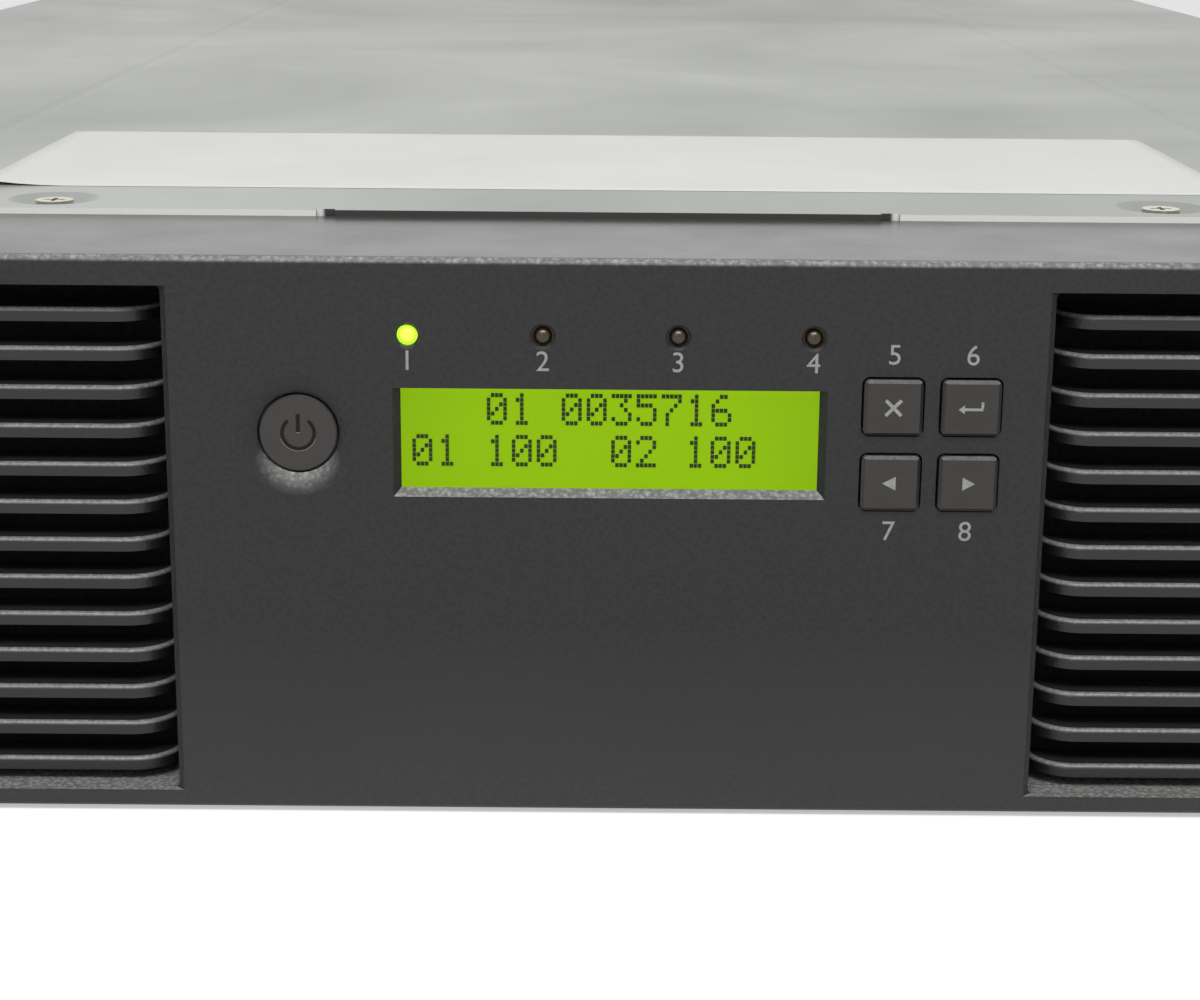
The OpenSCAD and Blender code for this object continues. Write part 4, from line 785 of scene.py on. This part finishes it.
class TAPELIB_OT_display_dots(bpy.types.Operator):
    """Dark dots of plain digits on the lit display"""
    bl_idname = "tapelib.display_dots"
    bl_label = "Display dots"

    def execute(self, context):
        s = context.scene.tape_library.panel
        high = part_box("display_window")[1]
        left = middle("display_window").x - s.display_half_width
        top = middle("display_window").z + s.display_half_height
        back = high.y + s.dot_setback
        mesh = bmesh.new()
        for row, line in enumerate((s.first_row, s.second_row)):
            for column, digit in enumerate(line):
                if digit == " ":
                    continue
                for down, dots in enumerate(DIGITS[digit]):
                    for across, dot in enumerate(dots):
                        if dot == "#":
                            x = left + s.first_column + column * s.column_pitch
                            x += across * s.dot_pitch_x
                            z = top - s.first_dots - row * s.row_pitch - down * s.dot_pitch_z
                            add_box(mesh, (x, back, z - s.dot_pitch_z + s.dot_gap),
                                    (x + s.dot_pitch_x - s.dot_gap, back + s.dot_thickness, z))
        n = Nodes("display_dot_dark")
        n.relief(n.noise(800), 0.05, 0.01 * MM)
        tint = context.scene.tape_library.finish.dots
        n.join(n.blend(n.noise(200), scaled(tint, 0.9), tint), n.shader.inputs["Emission Color"])
        n.shader.inputs["Emission Strength"].default_value = 0.7
        n.finish(scaled(tint, 0.3), 0.5, 0.0, 0.2)
        piece("display_dots", mesh, n.material, "frame")
        return {"FINISHED"}


class TAPELIB_OT_printed_digits(bpy.types.Operator):
    """Plain digits printed under the lamps and beside the keys"""
    bl_idname = "tapelib.printed_digits"
    bl_label = "Printed digits"

    def execute(self, context):
        s = context.scene.tape_library.panel
        ink = print_ink("panel_ink", context.scene.tape_library.finish.mark)
        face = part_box("front_bezel")[0].y
        lamps = ("ready_lamp", "clean_lamp", "attention_lamp", "error_lamp")
        keys = (("cancel_key", 1), ("enter_key", 1), ("previous_key", -1), ("next_key", -1))
        made = []
        for number, lamp in enumerate(lamps, 1):
            at = middle(lamp)
            made.append(front_text(str(number), s.digit_height,
                                   (at.x, face - s.mark_raise / 2, at.z - s.lamp_digit_drop),
                                   s.mark_raise))
        for number, (key, side) in enumerate(keys, 5):
            at = middle(key)
            made.append(front_text(str(number), s.digit_height,
                                   (at.x, face - s.mark_raise / 2, at.z + side * s.key_digit_gap),
                                   s.mark_raise))
        piece("panel_digits", merged(made), ink, "frame")
        return {"FINISHED"}


class TAPELIB_OT_key_marks(bpy.types.Operator):
    """Cross, return arrow and triangles printed on the four keys"""
    bl_idname = "tapelib.key_marks"
    bl_label = "Key marks"

    def execute(self, context):
        s = context.scene.tape_library.panel
        ink = print_ink("key_ink", context.scene.tape_library.finish.mark)
        # outlines in millimetres, across and up from a key's middle
        arm = 1.15
        shapes = {
            "cancel_key": [stroke((-arm, -arm), (arm, arm), 0.5),
                           stroke((-arm, arm), (arm, -arm), 0.5)],
            "enter_key": [stroke((-1.0, -0.15), (1.7, -0.15), 0.4),
                          stroke((1.6, 1.0), (1.6, 0.04), 0.4),
                          [(-1.9, -0.15), (-1.0, -0.8), (-1.0, 0.5)]],
            "previous_key": [[(-1.25, 0), (0.75, -1.05), (0.75, 1.05)]],
            "next_key": [[(1.05, 0), (-0.8, 1.0), (-0.8, -1.0)]],
        }
        layer_step = 0.01 * MM  # keeps crossing strokes out of one plane
        for key, outlines in shapes.items():
            at = middle(key)
            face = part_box(key)[0].y + s.key_dish
            parts = [upright(points, at, face - layer * layer_step, s.mark_raise)
                     for layer, points in enumerate(outlines)]
            mark = merged(parts)
            # long edges are divided, so that the marks can follow the cap's dish
            long_edges = [e for e in mark.edges if e.calc_length() > 0.6 * MM]
            bmesh.ops.subdivide_edges(mark, edges=long_edges, cuts=4)
            for vert in mark.verts:
                away = Vector((vert.co.x - at.x, vert.co.z - at.z)).length
                vert.co.y -= away * away / (2 * s.dish_radius)
            piece(key + "_mark", mark, ink, key)
        return {"FINISHED"}


class TAPELIB_OT_power_mark(bpy.types.Operator):
    """Power symbol on the button: a flat ring and bar painted dark as the shade of an engraved
    groove, with a painted highlight on the ring's lower lip and the bar's foot
    """
    bl_idname = "tapelib.power_mark"
    bl_label = "Power mark"

    def execute(self, context):
        s = context.scene.tape_library.panel
        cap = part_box("power_button")[0].y
        at = middle("power_button")
        # millimetres about the button's middle; the ring is open by gap degrees each side of its top
        outer, inner, lip_outer = 2.65, 2.1, 2.78
        bar, bar_foot, bar_top = 0.3, 0.15, 2.9
        steps, gap = 40, 38
        turns = [math.radians(90 + gap + (360 - 2 * gap) * i / steps) for i in range(steps + 1)]
        lower = turns[steps // 4:3 * steps // 4 + 1]
        ring = [(outer * math.cos(t), outer * math.sin(t)) for t in turns]
        ring += [(inner * math.cos(t), inner * math.sin(t)) for t in reversed(turns)]
        stem = [(-bar, bar_foot), (bar, bar_foot), (bar, bar_top), (-bar, bar_top)]
        # painted shade: the ring and bar are darkened as the shade inside an engraved groove
        shadow = [upright(points, at, cap, s.mark_raise) for points in (ring, stem)]
        # painted highlight: the ring's lower lip and the bar's foot are paled as the groove's lit
        # lower wall
        lip = [(lip_outer * math.cos(t), lip_outer * math.sin(t)) for t in lower]
        lip += [(outer * math.cos(t), outer * math.sin(t)) for t in reversed(lower)]
        foot = [(-bar, 0.0), (bar, 0.0), (bar, bar_foot), (-bar, bar_foot)]
        bright = [upright(points, at, cap, s.mark_raise) for points in (lip, foot)]
        dark = moulded_plastic("button_groove_shade", srgb(22, 21, 20), 2400, 0.01, 0.6, 0.15, 0.0)
        light = moulded_plastic("button_lip_highlight", srgb(104, 102, 99), 2400, 0.01, 0.4, 0.3, 0.0)
        piece("power_mark", merged(shadow), dark, "power_button")
        piece("power_mark_highlight", merged(bright), light, "power_button")
        return {"FINISHED"}


class TAPELIB_OT_louvre_screens(bpy.types.Operator):
    """Dull black sheets between the louvres' roots, painted shade standing in for the dark gaps"""
    bl_idname = "tapelib.louvre_screens"
    bl_label = "Louvre shade sheets"

    def execute(self, context):
        s = context.scene.tape_library.panel
        # painted shade: a near-black sheet put in each gap between the louvres
        n = Nodes("louvre_shade_black")
        sheet_speckle = n.cells(1400)
        n.relief(sheet_speckle, 0.5, 0.05 * MM)
        tint = n.blend(n.spread(sheet_speckle, 0.1, 0.6), srgb(18, 18, 20), srgb(30, 30, 32))
        n.finish(tint, 0.95, 0.0, 0.08)
        for side in ("left", "right"):
            low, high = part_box(side + "_magazine_front")
            near = low.y + s.louvre_depth - s.screen_lift
            gap = s.louvre_pitch - s.louvre_height
            bands = []
            for i in range(s.louvres + 1):
                top = high.z - s.louvre_drop - i * s.louvre_pitch + gap
                foot = max(low.z, top - gap)
                band = bmesh.new()
                add_box(band, (low.x, near, foot),
                        (high.x, near + s.screen_thickness, min(top, high.z)))
                bands.append(band)
            piece(side + "_louvre_shade_sheet", merged(bands), n.material, side + "_magazine")
        return {"FINISHED"}


class TAPELIB_OT_thumb_knurls(bpy.types.Operator):
    """Knurled grip round the heads of the sleds' thumb screws"""
    bl_idname = "tapelib.thumb_knurls"
    bl_label = "Thumb screw knurls"

    def execute(self, context):
        s = context.scene.tape_library.inside
        steel = bright_steel("knurled_steel", context.scene.tape_library.finish.steel, 0.3)
        for sled in ("lower", "upper"):
            low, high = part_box(sled + "_thumb_screws")
            radius = (high.z - low.z) / 2
            end = high.y - s.knurl_end
            both = []
            for x in (low.x + radius, high.x - radius):
                mesh = bmesh.new()
                count = s.knurls * 2
                ring = []
                for i in range(count):
                    reach = radius + (s.knurl_root if i % 2 else s.knurl_crest)
                    turn = 2 * math.pi * i / count
                    ring.append(mesh.verts.new((x + reach * math.cos(turn), end - s.knurl_length,
                                                (low.z + high.z) / 2 + reach * math.sin(turn))))
                cap = mesh.faces.new(ring)
                core = bmesh.ops.inset_individual(mesh, faces=[cap],
                                                  thickness=s.knurl_wall)["faces"]
                bmesh.ops.delete(mesh, geom=[cap], context="FACES_ONLY")
                grown = bmesh.ops.extrude_face_region(mesh, geom=core)["geom"]
                bmesh.ops.translate(mesh, vec=(0, s.knurl_length, 0),
                                    verts=[v for v in grown if isinstance(v, bmesh.types.BMVert)])
                both.append(mesh)
            piece(sled + "_thumb_knurls", merged(both), steel, sled + "_drive")
        return {"FINISHED"}


class TAPELIB_OT_screw_thread(bpy.types.Operator):
    """Raised thread wound round the lift screw"""
    bl_idname = "tapelib.screw_thread"
    bl_label = "Lift screw thread"

    def execute(self, context):
        s = context.scene.tape_library.inside
        low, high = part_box("lift_screw")
        at = middle("lift_screw")
        start, end = low.z + s.thread_start, high.z - s.thread_end
        turns = int((end - start) / s.thread_pitch)
        flank = s.thread_pitch * s.thread_flank
        mesh = bmesh.new()
        ridge = [mesh.verts.new((at.x + s.screw_radius + out, at.y, start + up)) for out, up in (
            (-s.thread_sink, -flank), (s.thread_depth, 0.0), (-s.thread_sink, flank))]
        edges = [mesh.edges.new((ridge[i], ridge[(i + 1) % 3])) for i in range(3)]
        steps = turns * s.thread_steps
        bmesh.ops.spin(mesh, geom=ridge + edges, cent=at, axis=(0, 0, 1), angle=2 * math.pi * turns,
                       steps=steps, dvec=(0, 0, turns * s.thread_pitch / steps), use_merge=False)
        bmesh.ops.holes_fill(mesh, edges=[e for e in mesh.edges if e.is_boundary], sides=3)
        steel = bright_steel("thread_steel", context.scene.tape_library.finish.steel, 0.2)
        piece("lift_screw_thread", mesh, steel, "lift_screw")
        return {"FINISHED"}


CLASSES = (
    TapeLibraryStage, TapeLibraryPanel, TapeLibraryCover, TapeLibraryInside, TapeLibraryFinish,
    TapeLibrarySettings,
    TAPELIB_OT_stage, TAPELIB_OT_node_finishes, TAPELIB_OT_cover_label, TAPELIB_OT_display_dots,
    TAPELIB_OT_printed_digits, TAPELIB_OT_key_marks, TAPELIB_OT_power_mark,
    TAPELIB_OT_louvre_screens, TAPELIB_OT_thumb_knurls, TAPELIB_OT_screw_thread,
)
STEPS = [c for c in CLASSES if issubclass(c, bpy.types.Operator)]


class TAPELIB_PT_panel(bpy.types.Panel):
    bl_idname = "TAPELIB_PT_panel"
    bl_label = "Tape library"
    bl_space_type = "VIEW_3D"
    bl_region_type = "UI"
    bl_category = "Tape Library"

    def draw(self, context):
        settings = context.scene.tape_library
        for step in STEPS:
            self.layout.operator(step.bl_idname)
        for name, group in PARTS:
            box = self.layout.box()
            box.label(text=name.capitalize())
            for field in group.__annotations__:
                box.prop(getattr(settings, name), field)


def register():
    for made in CLASSES + (TAPELIB_PT_panel,):
        bpy.utils.register_class(made)
    bpy.types.Scene.tape_library = PointerProperty(type=TapeLibrarySettings)


def unregister():
    del bpy.types.Scene.tape_library
    for made in reversed(CLASSES + (TAPELIB_PT_panel,)):
        bpy.utils.unregister_class(made)


def main():
    register()
    for step in STEPS:
        group, name = step.bl_idname.split(".")
        getattr(getattr(bpy.ops, group), name)()


if __name__ == "__main__":
    main()
